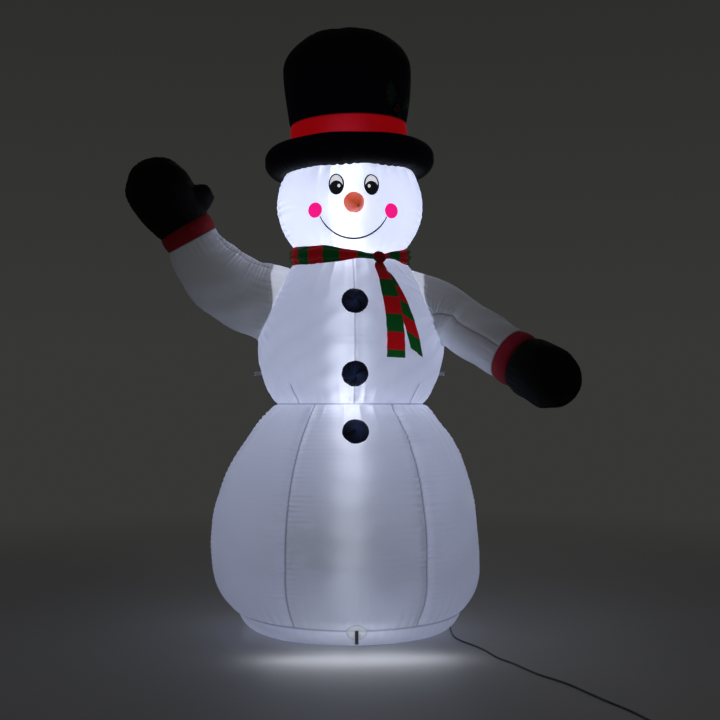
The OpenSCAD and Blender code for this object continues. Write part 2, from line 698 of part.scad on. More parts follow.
plug_at = [coil_at[0] + 49, coil_at[1] + 52];
plug_t = 14;
pin_gap = 19;
module plug_body() color("#202022") translate([plug_at[0], plug_at[1], plug_t / 2]) rotate([-90, 0, 0]) {
    linear_extrude(38) hull() for (s = [-1, 1]) translate([s * 10.5, 0]) circle(d = plug_t, $fn = 32);
    translate([0, 0, -27]) cylinder(r1 = 4.5, r2 = 6.5, h = 27);
}
module plug_pins() color("silver") for (s = [-1, 1])
    translate([plug_at[0] + s * pin_gap / 2, plug_at[1] + 38, plug_t / 2]) rotate([-90, 0, 0])
        cylinder(r = 2, h = 19);

gore(0);  // gore_front
gore(1);  // gore_front_right
gore(2);  // gore_back_right
gore(3);  // gore_back
gore(4);  // gore_back_left
gore(5);  // gore_front_left
base_panel();
torso_front_left();
torso_front_right();
torso_back();
head_front();
head_back();
brim_lower();
brim_upper();
hat_band();
hat_crown();
holly_leaves();
holly_berries();
nose();
eye_whites();
pupils();
cheeks();
mouth();
buttons();
scarf_wrap();
scarf_knot();
scarf_front_tail();
scarf_rear_tail();
waving_sleeve();
waving_cuff();
waving_mitten();
lowered_sleeve();
lowered_cuff();
lowered_mitten();
side_tethers();
base_tethers();
base_patches();
blower_housing();
clamp_ring();
intake_grille();
outlet_guard();
impeller();
motor();
motor_shaft();
motor_bracket();
housing_screws();
cable_gland();
led_lead();
led_sockets();
led_bulbs();
led_hanger();
zip_tape();
zip_teeth();
zip_slider();
zip_pull();
power_lead();
power_coil();
coil_tie();
plug_body();
plug_pins();
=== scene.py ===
"""Looks of an air-filled garden snowman, sewn from coated polyester and lit by a lamp string inside it.

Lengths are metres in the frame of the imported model: +Z is up, the face looks along -Y, and an azimuth is
counted from the front towards +X. Each sub-assembly is a class that holds its sizes and builds its pieces.
"""

from __future__ import annotations

import json
import logging
import math
from abc import ABC, abstractmethod
from collections.abc import Callable, Sequence
from dataclasses import dataclass, field
from enum import Enum
from functools import cache

import bmesh
import bpy
import numpy as np
from mathutils import Matrix, Vector

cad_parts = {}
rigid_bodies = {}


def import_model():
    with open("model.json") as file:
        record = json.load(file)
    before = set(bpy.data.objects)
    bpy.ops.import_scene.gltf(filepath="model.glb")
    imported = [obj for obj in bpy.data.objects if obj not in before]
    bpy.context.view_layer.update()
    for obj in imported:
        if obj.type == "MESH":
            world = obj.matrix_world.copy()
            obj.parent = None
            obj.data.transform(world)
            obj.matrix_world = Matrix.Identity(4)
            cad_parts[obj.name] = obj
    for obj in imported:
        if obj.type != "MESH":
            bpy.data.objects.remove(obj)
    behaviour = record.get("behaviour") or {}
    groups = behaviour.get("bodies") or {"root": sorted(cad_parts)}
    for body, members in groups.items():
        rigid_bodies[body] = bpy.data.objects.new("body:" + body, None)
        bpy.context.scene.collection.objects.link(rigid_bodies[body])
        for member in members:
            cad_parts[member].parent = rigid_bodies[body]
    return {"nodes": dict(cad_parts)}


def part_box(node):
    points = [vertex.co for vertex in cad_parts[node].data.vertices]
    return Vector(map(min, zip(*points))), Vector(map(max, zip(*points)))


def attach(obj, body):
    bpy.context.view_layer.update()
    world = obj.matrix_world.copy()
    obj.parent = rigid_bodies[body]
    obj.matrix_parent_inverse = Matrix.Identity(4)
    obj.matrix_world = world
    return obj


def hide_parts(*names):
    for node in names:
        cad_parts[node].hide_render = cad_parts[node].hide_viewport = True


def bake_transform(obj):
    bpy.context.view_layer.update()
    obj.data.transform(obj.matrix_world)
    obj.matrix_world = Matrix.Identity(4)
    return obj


log = logging.getLogger("snowman")

MM = 0.001
Point = tuple[float, float, float]
Array = np.ndarray
Piece = bpy.types.Object


class Side(Enum):
    """A side of the object, as the sign of X there."""

    LEFT = -1
    RIGHT = 1


class End(Enum):
    """The face or the back of the object, as the sign of Y there."""

    FRONT = -1
    REAR = 1


# ---------------------------------------------------------------- colours and nodes


def linear(hex_code: str, alpha: float = 1.0) -> tuple[float, float, float, float]:
    """Turns an sRGB hex value into linear RGBA.

    Args:
        hex_code: the colour as "#rrggbb".
        alpha: the fourth value of the result.

    Returns:
        Linear red, green and blue, and alpha.
    """
    parts = [int(hex_code[i : i + 2], 16) / 255 for i in (1, 3, 5)]
    red, green, blue = (c / 12.92 if c <= 0.04045 else ((c + 0.055) / 1.055) ** 2.4 for c in parts)
    return red, green, blue, alpha


def add_node(
    tree: bpy.types.NodeTree, kind: str, settings: dict | None = None, feeds: dict | None = None
) -> bpy.types.Node:
    """Adds one shader node.

    Args:
        tree: the node tree to add to.
        kind: the node's type without "ShaderNode".
        settings: attributes of the node.
        feeds: its inputs by name or number, each a value or a socket to link from.

    Returns:
        The new node.
    """
    node = tree.nodes.new("ShaderNode" + kind)
    for key, value in (settings or {}).items():
        setattr(node, key, value)
    for key, value in (feeds or {}).items():
        if isinstance(value, bpy.types.NodeSocket):
            tree.links.new(value, node.inputs[key])
        else:
            node.inputs[key].default_value = value
    return node


def blank_material(name: str) -> tuple[bpy.types.Material, bpy.types.NodeTree, bpy.types.Node]:
    """Makes a material that holds nothing but its output.

    Args:
        name: the material's name.

    Returns:
        The material, its node tree and its output node.
    """
    material = bpy.data.materials.new(name)
    material.use_nodes = True
    tree = material.node_tree
    tree.nodes.clear()
    return material, tree, add_node(tree, "OutputMaterial")


# ---------------------------------------------------------------- finishes


TIMES = {"operation": "MULTIPLY"}
TIMES_PLUS = {"operation": "MULTIPLY_ADD"}
TINT = {"data_type": "RGBA", "blend_type": "MULTIPLY"}
# Noise seldom leaves this span, so it is stretched over the whole range of a tone or a roughness.
SPAN = {"From Min": 0.3, "From Max": 0.7}


class Surface(ABC):
    """A finish: what a piece is made of, and how its surface was made."""

    name: str

    @abstractmethod
    def shade(self, tree: bpy.types.NodeTree, place: bpy.types.Node) -> bpy.types.Node:
        """Builds the shader node, patterned by the texture coordinates."""

    def make(self) -> bpy.types.Material:
        """Builds the material."""
        material, tree, output = blank_material(self.name)
        shader = self.shade(tree, add_node(tree, "TexCoord"))
        tree.links.new(shader.outputs[0], output.inputs[0])
        return material


@dataclass(frozen=True)
class CoatedTaffeta(Surface):
    """Polyester taffeta with a thin inner coating, which holds air and lets lamp light through.

    Woven from fine yarn, so it looks smooth and a little silky, with a soft crinkle that folding
    leaves. The sewn edge is two or three layers thick, so it shows as a darker line when lit.

    Attributes:
        name: the finish's name.
        dye: its colour in daylight.
        lit: the colour that light takes on as it comes through.
        through: how bright the lit cloth gets, for a lamp light of 1.
        haze: share of light that goes through nearly straight, so lamps show as a soft core.
        crinkle: height of the crinkle, in metres.
        thread: spacing of the threads, about five times as coarse as real ones so that they show.
        relief: height of the threads.
        rough: its roughness, which the crinkle varies.
        sheen: strength of the silky sheen.
        shine: strength of its reflections.
        seam_reach: distance from a seam, in millimetres, that the darker line is drawn over.
    """

    name: str
    dye: str
    lit: str
    through: float
    haze: float = 0.0
    crinkle: float = 0.0009
    thread: float = 0.0011
    relief: float = 0.00002
    rough: float = 0.46
    sheen: float = 0.12
    shine: float = 0.4
    seam_reach: float = 20.0

    def shade(self, tree: bpy.types.NodeTree, place: bpy.types.Node) -> bpy.types.Node:
        """Builds the shader: woven, crinkled, mottled, darker along its seams and lit from inside."""
        cloth = add_node(tree, "SeparateXYZ", feeds={0: place.outputs["UV"]})
        waves = []
        for axis in ("X", "Y"):
            angle = add_node(tree, "Math", TIMES, {0: cloth.outputs[axis], 1: 2 * math.pi / self.thread})
            waves.append(add_node(tree, "Math", {"operation": "SINE"}, {0: angle.outputs[0]}).outputs[0])
        weave = add_node(tree, "Math", TIMES, {0: waves[0], 1: waves[1]})
        solid = place.outputs["Object"]
        crumple = add_node(
            tree, "TexNoise", feeds={"Vector": solid, "Scale": 46.0, "Detail": 4.0, "Roughness": 0.55}
        )
        tall = add_node(tree, "Math", TIMES, {0: crumple.outputs["Fac"], 1: self.crinkle})
        height = add_node(tree, "Math", TIMES_PLUS, {0: weave.outputs[0], 1: self.relief, 2: tall.outputs[0]})
        bump = add_node(tree, "Bump", feeds={"Distance": 1.0, "Strength": 0.8, "Height": height.outputs[0]})
        mottle = add_node(
            tree, "TexNoise", feeds={"Vector": solid, "Scale": 7.0, "Detail": 3.0, "Roughness": 0.6}
        )
        patchy = add_node(
            tree, "MapRange", feeds={"Value": mottle.outputs["Fac"], **SPAN, "To Min": 0.9, "To Max": 1.08}
        )
        layers = self._painted_seam_shade(tree)
        # Painted shade: the base colour too is darker along the seams, where the extra layers of cloth hold
        # back the lamp light.
        colour = add_node(tree, "Mix", TINT, {0: 0.6, 6: linear(self.dye), 7: layers})
        rough = add_node(
            tree, "MapRange",
            feeds={
                "Value": crumple.outputs["Fac"], **SPAN, "To Min": self.rough - 0.06,
                "To Max": self.rough + 0.08
            }
        )
        glow = add_node(tree, "Attribute", {"attribute_name": "glow"})
        lit = add_node(tree, "Math", TIMES, {0: glow.outputs["Fac"], 1: patchy.outputs[0]})
        seamed = add_node(tree, "Math", TIMES, {0: lit.outputs[0], 1: layers})
        strength = add_node(tree, "Math", TIMES, {0: seamed.outputs[0], 1: self.through})
        return add_node(
            tree, "BsdfPrincipled",
            feeds={
                "Base Color": colour.outputs[2], "Roughness": rough.outputs[0], "IOR": 1.45,
                "Transmission Weight": self.haze, "Specular IOR Level": self.shine,
                "Sheen Weight": self.sheen, "Sheen Roughness": 0.4, "Normal": bump.outputs[0],
                "Emission Color": linear(self.lit), "Emission Strength": strength.outputs[0]
            }
        )

    def _painted_seam_shade(self, tree: bpy.types.NodeTree) -> bpy.types.NodeSocket:
        """Share of light that the layers of cloth let through, from a seam's edge outwards; it also darkens
        the base colour as painted shade.
        """
        seam = add_node(tree, "Attribute", {"attribute_name": "seam_mm"})
        scaled = add_node(
            tree, "Math", {"operation": "DIVIDE", "use_clamp": True},
            {0: seam.outputs["Fac"], 1: self.seam_reach}
        )
        layers = add_node(tree, "ValToRGB", feeds={0: scaled.outputs[0]})
        ramp = layers.color_ramp
        ramp.elements[0].position, ramp.elements[0].color = 0.07, (0.2, 0.2, 0.2, 1)
        ramp.elements[1].position, ramp.elements[1].color = 0.34, (1, 1, 1, 1)
        for position, value in ((0.15, 0.55), (0.24, 0.88)):
            ramp.elements.new(position).color = (value, value, value, 1)
        return layers.outputs["Color"]


@dataclass(frozen=True)
class StripedScarfCloth(Surface):
    """Brushed polyester in two dyed stripes across its length, napped, so it scatters light softly."""

    name: str = "brushed_scarf_cloth"
    red: str = "#a80f18"
    green: str = "#0d4a1e"
    stripe: float = 0.068
    through: float = 0.03

    def shade(self, tree: bpy.types.NodeTree, place: bpy.types.Node) -> bpy.types.Node:
        """Builds the shader from the cloth's own length, which its second map coordinate holds."""
        cloth = add_node(tree, "SeparateXYZ", feeds={0: place.outputs["UV"]})
        noise = add_node(
            tree, "TexNoise", feeds={"Vector": place.outputs["Object"], "Scale": 900.0, "Detail": 2.0}
        )
        fuzz = noise.outputs["Fac"]
        ragged = add_node(tree, "Math", TIMES_PLUS, {0: fuzz, 1: 0.0012, 2: cloth.outputs["Y"]})
        pairs = add_node(tree, "Math", {"operation": "DIVIDE"}, {0: ragged.outputs[0], 1: 2 * self.stripe})
        part = add_node(tree, "Math", {"operation": "FRACT"}, {0: pairs.outputs[0]})
        which = add_node(tree, "Math", {"operation": "GREATER_THAN"}, {0: part.outputs[0], 1: 0.5})
        dyed = add_node(
            tree, "Mix", {"data_type": "RGBA"},
            {0: which.outputs[0], 6: linear(self.green), 7: linear(self.red)}
        )
        patchy = add_node(tree, "MapRange", feeds={"Value": fuzz, **SPAN, "To Min": 0.7, "To Max": 1.15})
        colour = add_node(tree, "Mix", TINT, {0: 1.0, 6: dyed.outputs[2], 7: patchy.outputs[0]})
        nap = add_node(tree, "Bump", feeds={"Distance": 0.0006, "Strength": 0.7, "Height": fuzz})
        glow = add_node(tree, "Attribute", {"attribute_name": "glow"})
        strength = add_node(tree, "Math", TIMES, {0: glow.outputs["Fac"], 1: self.through})
        return add_node(
            tree, "BsdfPrincipled",
            feeds={
                "Base Color": colour.outputs[2], "Roughness": 0.82, "Specular IOR Level": 0.15,
                "Sheen Weight": 0.06, "Sheen Roughness": 0.5, "Normal": nap.outputs[0],
                "Emission Color": dyed.outputs[2], "Emission Strength": strength.outputs[0]
            }
        )


@dataclass(frozen=True)
class Webbing(Surface):
    """Flat woven polyester tape: ribs run across it, a rib about every 1.4 mm."""

    name: str
    dye: str
    rib: float = 0.0014

    def shade(self, tree: bpy.types.NodeTree, place: bpy.types.Node) -> bpy.types.Node:
        """Builds the shader, with painted highlight on the crowns of the ribs and painted shade between them.
        """
        tape = add_node(tree, "SeparateXYZ", feeds={0: place.outputs["UV"]})
        angle = add_node(tree, "Math", TIMES, {0: tape.outputs["Y"], 1: 2 * math.pi / self.rib})
        ribs = add_node(tree, "Math", {"operation": "SINE"}, {0: angle.outputs[0]})
        fibre = add_node(
            tree, "TexNoise", feeds={"Vector": place.outputs["Object"], "Scale": 1600.0, "Detail": 2.0}
        )
        height = add_node(tree, "Math", TIMES_PLUS, {0: ribs.outputs[0], 1: 0.5, 2: fibre.outputs["Fac"]})
        bump = add_node(
            tree, "Bump", feeds={"Distance": 0.0004, "Strength": 0.9, "Height": height.outputs[0]}
        )
        # Painted highlight and shade: the tape's colour is lighter on the crowns of the ribs and darker in
        # the hollows.
        shade = add_node(
            tree, "MapRange",
            feeds={
                "Value": height.outputs[0], "From Min": -0.2, "From Max": 1.2, "To Min": 0.6, "To Max": 1.1
            }
        )
        colour = add_node(tree, "Mix", TINT, {0: 1.0, 6: linear(self.dye), 7: shade.outputs[0]})
        return add_node(
            tree, "BsdfPrincipled",
            feeds={
                "Base Color": colour.outputs[2], "Roughness": 0.7, "Sheen Weight": 0.2,
                "Normal": bump.outputs[0]
            }
        )


@dataclass(frozen=True)
class MouldedPlastic(Surface):
    """Injection-moulded plastic with a fine spark-eroded grain, so highlights are broken up.

    Attributes:
        name: the finish's name.
        hue: its colour.
        gloss: roughness of the grain.
        grain: spacing of the grain, in metres.
        lamp: how strongly it shines, for a lit lens.
    """

    name: str
    hue: str
    gloss: float = 0.45
    grain: float = 0.0012
    lamp: float = 0.0

    def shade(self, tree: bpy.types.NodeTree, place: bpy.types.Node) -> bpy.types.Node:
        """Builds the shader, with dust and handling marks in its roughness."""
        solid = place.outputs["Object"]
        pits = add_node(tree, "TexNoise", feeds={"Vector": solid, "Scale": 1 / self.grain, "Detail": 2.0})
        marks = add_node(
            tree, "TexNoise", feeds={"Vector": solid, "Scale": 38.0, "Detail": 5.0}
        ).outputs["Fac"]
        rough = add_node(
            tree, "MapRange",
            feeds={"Value": marks, **SPAN, "To Min": self.gloss - 0.06, "To Max": self.gloss + 0.1}
        )
        tone = add_node(tree, "MapRange", feeds={"Value": marks, **SPAN, "To Min": 0.88, "To Max": 1.1})
        colour = add_node(tree, "Mix", TINT, {0: 1.0, 6: linear(self.hue), 7: tone.outputs[0]})
        bump = add_node(
            tree, "Bump", feeds={"Distance": 0.00012, "Strength": 0.6, "Height": pits.outputs["Fac"]}
        )
        return add_node(
            tree, "BsdfPrincipled",
            feeds={
                "Base Color": colour.outputs[2], "Roughness": rough.outputs[0], "IOR": 1.5,
                "Normal": bump.outputs[0], "Emission Color": linear(self.hue), "Emission Strength": self.lamp
            }
        )


@dataclass(frozen=True)
class PlatedMetal(Surface):
    """Plated steel or zinc: bright, with fine drawn lines and a little haze from handling."""

    name: str
    hue: str
    gloss: float = 0.28

    def shade(self, tree: bpy.types.NodeTree, place: bpy.types.Node) -> bpy.types.Node:
        """Builds the shader. Its roughness follows fine lines along the part."""
        drawn = add_node(
            tree, "Mapping", feeds={"Vector": place.outputs["Object"], "Scale": (900.0, 60.0, 900.0)}
        )
        noise = add_node(tree, "TexNoise", feeds={"Vector": drawn.outputs[0], "Scale": 1.0, "Detail": 3.0})
        lines = noise.outputs["Fac"]
        rough = add_node(
            tree, "MapRange",
            feeds={"Value": lines, **SPAN, "To Min": self.gloss - 0.08, "To Max": self.gloss + 0.12}
        )
        bump = add_node(tree, "Bump", feeds={"Distance": 0.00005, "Strength": 0.5, "Height": lines})
        return add_node(
            tree, "BsdfPrincipled",
            feeds={
                "Base Color": linear(self.hue), "Metallic": 1.0, "Roughness": rough.outputs[0],
                "Normal": bump.outputs[0]
            }
        )


@dataclass(frozen=True)
class CableJacket(Surface):
    """Extruded soft PVC round a mains lead: satin black, with dust that lies on it in places."""

    name: str = "pvc_jacket"
    hue: str = "#0b0b0c"
    dusty: str = "#1b1b1c"

    def shade(self, tree: bpy.types.NodeTree, place: bpy.types.Node) -> bpy.types.Node:
        """Builds the shader, rougher and paler where dust lies."""
        noise = add_node(
            tree, "TexNoise", feeds={"Vector": place.outputs["Object"], "Scale": 60.0, "Detail": 6.0}
        )
        dust = noise.outputs["Fac"]
        rough = add_node(
            tree, "MapRange",
            feeds={"Value": dust, "From Min": 0.35, "From Max": 0.7, "To Min": 0.36, "To Max": 0.6}
        )
        colour = add_node(
            tree, "Mix", {"data_type": "RGBA"}, {0: dust, 6: linear(self.hue), 7: linear(self.dusty)}
        )
        bump = add_node(tree, "Bump", feeds={"Distance": 0.0001, "Strength": 0.4, "Height": dust})
        return add_node(
            tree, "BsdfPrincipled",
            feeds={
                "Base Color": colour.outputs[2], "Roughness": rough.outputs[0], "IOR": 1.53,
                "Normal": bump.outputs[0]
            }
        )


class Finish(Enum):
    """Every finish on the object."""

    WHITE_TAFFETA = CoatedTaffeta("white_taffeta", "#e6e9f6", "#dce4ff", 0.0150, 0.32)
    SLEEVE_TAFFETA = CoatedTaffeta("sleeve_taffeta", "#dfe3ea", "#dbe2f6", 0.006)
    BLACK_TAFFETA = CoatedTaffeta(
        "black_taffeta", "#040406", "#141f4a", 0.0003, rough=0.72, sheen=0.0, shine=0.18
    )
    BUTTON_TAFFETA = CoatedTaffeta("button_taffeta", "#07080d", "#31406e", 0.011, rough=0.55, sheen=0.02)
    RED_TAFFETA = CoatedTaffeta(
        "red_taffeta", "#8e0410", "#ff0614", 0.0045, 0.35, rough=0.7, sheen=0.0, shine=0.12
    )
    LEAF_TAFFETA = CoatedTaffeta("leaf_taffeta", "#04240f", "#0a5a20", 0.0003, rough=0.7, sheen=0.0)
    BERRY_TAFFETA = CoatedTaffeta("berry_taffeta", "#3c0a0c", "#7a0a10", 0.0003, rough=0.6, sheen=0.0)
    CARROT_TAFFETA = CoatedTaffeta("carrot_taffeta", "#ee6a20", "#ff5614", 0.0135)
    EYE_WHITE_PRINT = CoatedTaffeta("eye_white_print", "#f0f1f3", "#eef0fb", 0.018)
    SLATE_PRINT = CoatedTaffeta("slate_print", "#14171f", "#4c5468", 0.0009)
    BLACK_PRINT = CoatedTaffeta("black_print", "#0b0b0e", "#3a3d48", 0.0003)
    MAGENTA_PRINT = CoatedTaffeta("magenta_print", "#d8307e", "#ff168a", 0.021)
    PATCH_TAFFETA = CoatedTaffeta("patch_taffeta", "#cfd3d8", "#c4cce0", 0.030)
    SCARF_CLOTH = StripedScarfCloth()
    GREY_WEBBING = Webbing("grey_webbing", "#b9bdc2")
    CHARCOAL_WEBBING = Webbing("charcoal_webbing", "#2a2d31")
    BLACK_PLASTIC = MouldedPlastic("black_abs", "#17181a")
    WHITE_PLASTIC = MouldedPlastic("white_pvc", "#e6e7e5", 0.35)
    LAMP_LENS = MouldedPlastic("frosted_lens", "#eef3ff", 0.5, 0.0008, 3.0)
    PLATED_STEEL = PlatedMetal("plated_steel", "#b4b5b3")
    ZINC = PlatedMetal("die_cast_zinc", "#a5a6a6", 0.34)
    NICKEL = PlatedMetal("nickel_plate", "#c8c3b6", 0.2)
    JACKET = CableJacket()


@cache
def material_of(finish: Finish) -> bpy.types.Material:
    """Returns the material of a finish, and builds it the first time."""
    return finish.value.make()


# ---------------------------------------------------------------- meshes


def grid_faces(rows: int, columns: int, closed: bool) -> list[tuple[int, int, int, int]]:
    """Lists the quads of a grid.

    Args:
        rows: number of rows of points.
        columns: number of points in a row.
        closed: True if each row ends where it starts.

    Returns:
        Four point numbers for each quad, facing outwards where rows go up and columns go anticlockwise.
    """
    wide = columns if closed else columns - 1
    return [
        (
            i * columns + k, i * columns + (k + 1) % columns, (i + 1) * columns + (k + 1) % columns,
            (i + 1) * columns + k
        ) for i in range(rows - 1) for k in range(wide)
    ]


def make_piece(
    name: str, points: Array, faces: Sequence[Sequence[int]], finish: Finish, flat: Array | None = None,
    layers: dict[str, Array] | None = None
) -> Piece:
    """Makes a smooth mesh object.

    Args:
        name: the piece's name.
        points: its points, one row each.
        faces: point numbers of each face.
        finish: its finish.
        flat: where each point lies on the flat cloth, in metres, for the weave.
        layers: values at each point, by name, such as the lamp light.

    Returns:
        The new object, in the scene.
    """
    mesh = bpy.data.meshes.new(name)
    mesh.from_pydata(points.reshape(-1, 3).tolist(), [], [tuple(f) for f in faces])
    if flat is not None:
        corner = np.zeros(len(mesh.loops), np.int32)
        mesh.loops.foreach_get("vertex_index", corner)
        mapped = mesh.uv_layers.new(name="cloth")
        mapped.data.foreach_set("uv", flat.reshape(-1, 2)[corner].astype(np.float32).ravel())
    for key, values in (layers or {}).items():
        attribute = mesh.attributes.new(key, "FLOAT", "POINT")
        attribute.data.foreach_set("value", np.asarray(values, np.float32).ravel())
    mesh.validate()
    mesh.shade_smooth()
    mesh.materials.append(material_of(finish))
    return shown(name, mesh)


def shown(name: str, data: bpy.types.ID) -> Piece:
    """Puts a mesh, a curve, a light or a camera in the scene, as a new object."""
    made = bpy.data.objects.new(name, data)
    bpy.context.scene.collection.objects.link(made)
    return made


def rework(piece: Piece, change: Callable[[bmesh.types.BMesh], None]) -> None:
    """Edits a piece's mesh in place."""
    work = bmesh.new()
    work.from_mesh(piece.data)
    change(work)
    work.to_mesh(piece.data)
    work.free()


def drop_loose_points(work: bmesh.types.BMesh) -> None:
    """Removes points that no face uses."""
    bmesh.ops.delete(work, geom=[v for v in work.verts if not v.link_faces], context="VERTS")


def merge_close(work: bmesh.types.BMesh, gap: float = 0.00002) -> None:
    """Joins points that lie on each other."""
    bmesh.ops.remove_doubles(work, verts=work.verts, dist=gap)


def turn_outwards(work: bmesh.types.BMesh, centre: Array | None = None) -> None:
    """Makes all faces face away from a point inside the piece, or from the upright axis."""
    bmesh.ops.recalc_face_normals(work, faces=work.faces)
    work.normal_update()
    total = 0.0
    for face in work.faces:
        at = face.calc_center_median()
        inner = Vector((0, 0, at.z)) if centre is None else Vector(centre)
        total += face.normal.dot(at - inner) * face.calc_area()
    if total < 0:
        bmesh.ops.reverse_faces(work, faces=work.faces)


def hang(piece: Piece, body: str, node: str | None = None) -> None:
    """Puts a finished piece on its body and in the place of its CAD node."""
    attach(piece, body)
    if node:
        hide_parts(node)


def thicken(piece: Piece, thick: float) -> None:
    """Gives a sheet its real thickness."""
    solid = piece.modifiers.new("thickness", "SOLIDIFY")
    solid.thickness, solid.offset = thick, 0.0


def bell(distance: Array, width: float) -> Array:
    """1 on a line, falling to 0 over about the width on each side."""
    return np.exp(-((distance / width) ** 2))


def eased(share: Array | float) -> Array | float:
    """A share from 0 to 1 that starts and stops gently."""
    return share * share * (3 - 2 * share)


def grid_normals(points: Array, closed: bool = False) -> Array:
    """Unit normals of a grid of points, outwards where rows go up and columns go anticlockwise."""
    if closed:
        wide = np.concatenate([points[:, -1:], points, points[:, :1]], axis=1)
        across = (wide[:, 2:] - wide[:, :-2]) / 2
    else:
        across = np.gradient(points, axis=1)
    normals = np.cross(across, np.gradient(points, axis=0))
    return normals / np.maximum(np.linalg.norm(normals, axis=2, keepdims=True), 1e-12)


def unit(vector: Sequence[float]) -> Array:
    """Returns a vector of length 1 that points the same way."""
    array = np.asarray(vector, float)
    return array / np.linalg.norm(array)


def ring_of(centre: Array, way: Array, radius: float, count: int) -> Array:
    """A ring of points.

    Args:
        centre: middle of the ring.
        way: the unit vector that it faces.
        radius: its radius.
        count: number of points.

    Returns:
        The points, which start at the ring's outer or upper side.
    """
    side = unit(np.cross(way, (0.0, 1.0, 0.0)))
    up = np.cross(way, side)
    turn = np.linspace(0, 2 * math.pi, count, endpoint=False)
    return centre + radius * (np.cos(turn)[:, None] * side + np.sin(turn)[:, None] * up)


def smooth_route(stations: Array, steps: int) -> Array:
    """Points on a smooth curve through the stations.

    Args:
        stations: the points to pass through, with any number of values each.
        steps: number of points from one station to the next.

    Returns:
        The curve's points, with the last station at the end.
    """
    last = len(stations) - 1
    out = []
    for i in range(last):
        a, b = stations[max(i - 1, 0)], stations[i]
        c, d = stations[i + 1], stations[min(i + 2, last)]
        for k in range(steps):
            t = k / steps
            out.append(
                0.5
                * (2 * b + (c - a) * t + (2 * a - 5 * b + 4 * c - d) * t**2 + (3 * b - a - 3 * c + d) * t**3)
            )
    return np.array([*out, stations[last]])


def folds(turn: Array, count: float, seed: int) -> Array:
    """Uneven folds as air pressure makes them: sharp creases with round bulges between.

    Args:
        turn: place along the seam, from 0 to 1. The folds meet again at 1.
        count: how many creases there are, roughly.
        seed: picks one set of folds.

    Returns:
        Heights from about -0.8 in a crease to 1.2 on a bulge.
    """
    random = np.random.default_rng(seed)
    wave = np.zeros_like(turn)
    for _ in range(4):
        whole = max(1, round(count * random.uniform(0.32, 0.68)))
        wave = wave + random.uniform(0.5, 1.0) * np.sin(2 * math.pi * (whole * turn + random.random()))
    return 2 * np.abs(wave / 2.0) ** 0.75 - 0.8


def sway(turn: Array, count: float, seed: int) -> Array:
    """A slow uneven wave from -1 to 1 that meets itself at 1."""
    random = np.random.default_rng(seed)
    wave = np.zeros_like(turn)
    for _ in range(3):
        whole = max(1, round(count * random.uniform(0.6, 1.4)))
        wave = wave + np.sin(2 * math.pi * (whole * turn + random.random()))
    return wave / 3


def gathers(distance: Array, turn: Array, count: float, height: float, reach: float, seed: int) -> Array:
    """Creases that run away from a sewn seam and fade out.

    Args:
        distance: how far each point is from the seam.
        turn: its place along the seam, from 0 to 1.
        count: number of creases along the seam.
        height: height of the creases beside the seam.
        reach: distance over which they fade, which varies along the seam.
        seed: picks one set of creases.

    Returns:
        Height to add at each point.
    """
    far = reach * (1 + 0.6 * sway(turn, count / 5, seed + 1))
    near = 1 - np.exp(-distance / (3 * MM))
    return height * near * np.exp(-distance / far) * folds(turn, count, seed)


# ---------------------------------------------------------------- lamp light


# Share of the cloth's light for each lamp from the lowest up.
LAMP_SHARES = (1.9, 0.85, 0.26, 0.04, 0.42, 2.85, 1.0, 1.0)
# Power in watts of the soft core along the lamp string, by height in metres.
CORE_HEIGHTS = (0.20, 0.40, 0.60, 0.80, 0.95, 1.15, 1.30, 1.45, 1.60, 1.75, 1.90, 2.00)
CORE_WATTS = (0.07, 0.09, 0.14, 0.27, 0.34, 0.14, 0.11, 0.22, 0.22, 0.20, 0.14, 0.06)
# Lamp light on the torso's cloth beside the armholes.
TORSO_GLOW = 82.0
# Light-emitting diodes of the cool white kind.
LAMP_TINT = (0.86, 0.90, 1.0)


@dataclass
class Lamps:
    """The lamps inside, and the light that each sends to the cloth round it.

    Attributes:
        centres: middle of each lamp.
        powers: how bright each one is beside an ordinary lamp.
    """

    centres: Array
    powers: Array

    @classmethod
    def from_frame(cls) -> Lamps:
        """Finds the lamps from the CAD node of the bulbs."""
        low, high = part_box("led_bulbs")
        bulb_radius = 11 * MM
        heights = np.linspace(low.z + bulb_radius, high.z - bulb_radius, len(LAMP_SHARES))
        centres = np.stack([-0.0085 * (heights - 0.44), 0 * heights, heights], axis=1)
        return cls(centres, np.array(LAMP_SHARES))

    def light_at(self, points: Array, normals: Array) -> Array:
        """Light that falls on the inner side of the cloth.

        Args:
            points: places on the cloth.
            normals: its outward normals there.

        Returns:
            One value for each point.
        """
        total = np.zeros(points.shape[:-1])
        for centre, power in zip(self.centres, self.powers, strict=True):
            away = points - centre
            square = (away**2).sum(-1)
            facing = (away * normals).sum(-1) / np.sqrt(square)
            total += power * np.clip(0.15 + 0.85 * facing, 0, None) / (square + 0.012)
        return total


# ---------------------------------------------------------------- round shells


@dataclass
class Spot:
    """Places on a shell: azimuth in radians, distance along the outline, radius, point and normal."""

    azimuth: Array
    along: Array
    radius: Array
    point: Array
    normal: Array


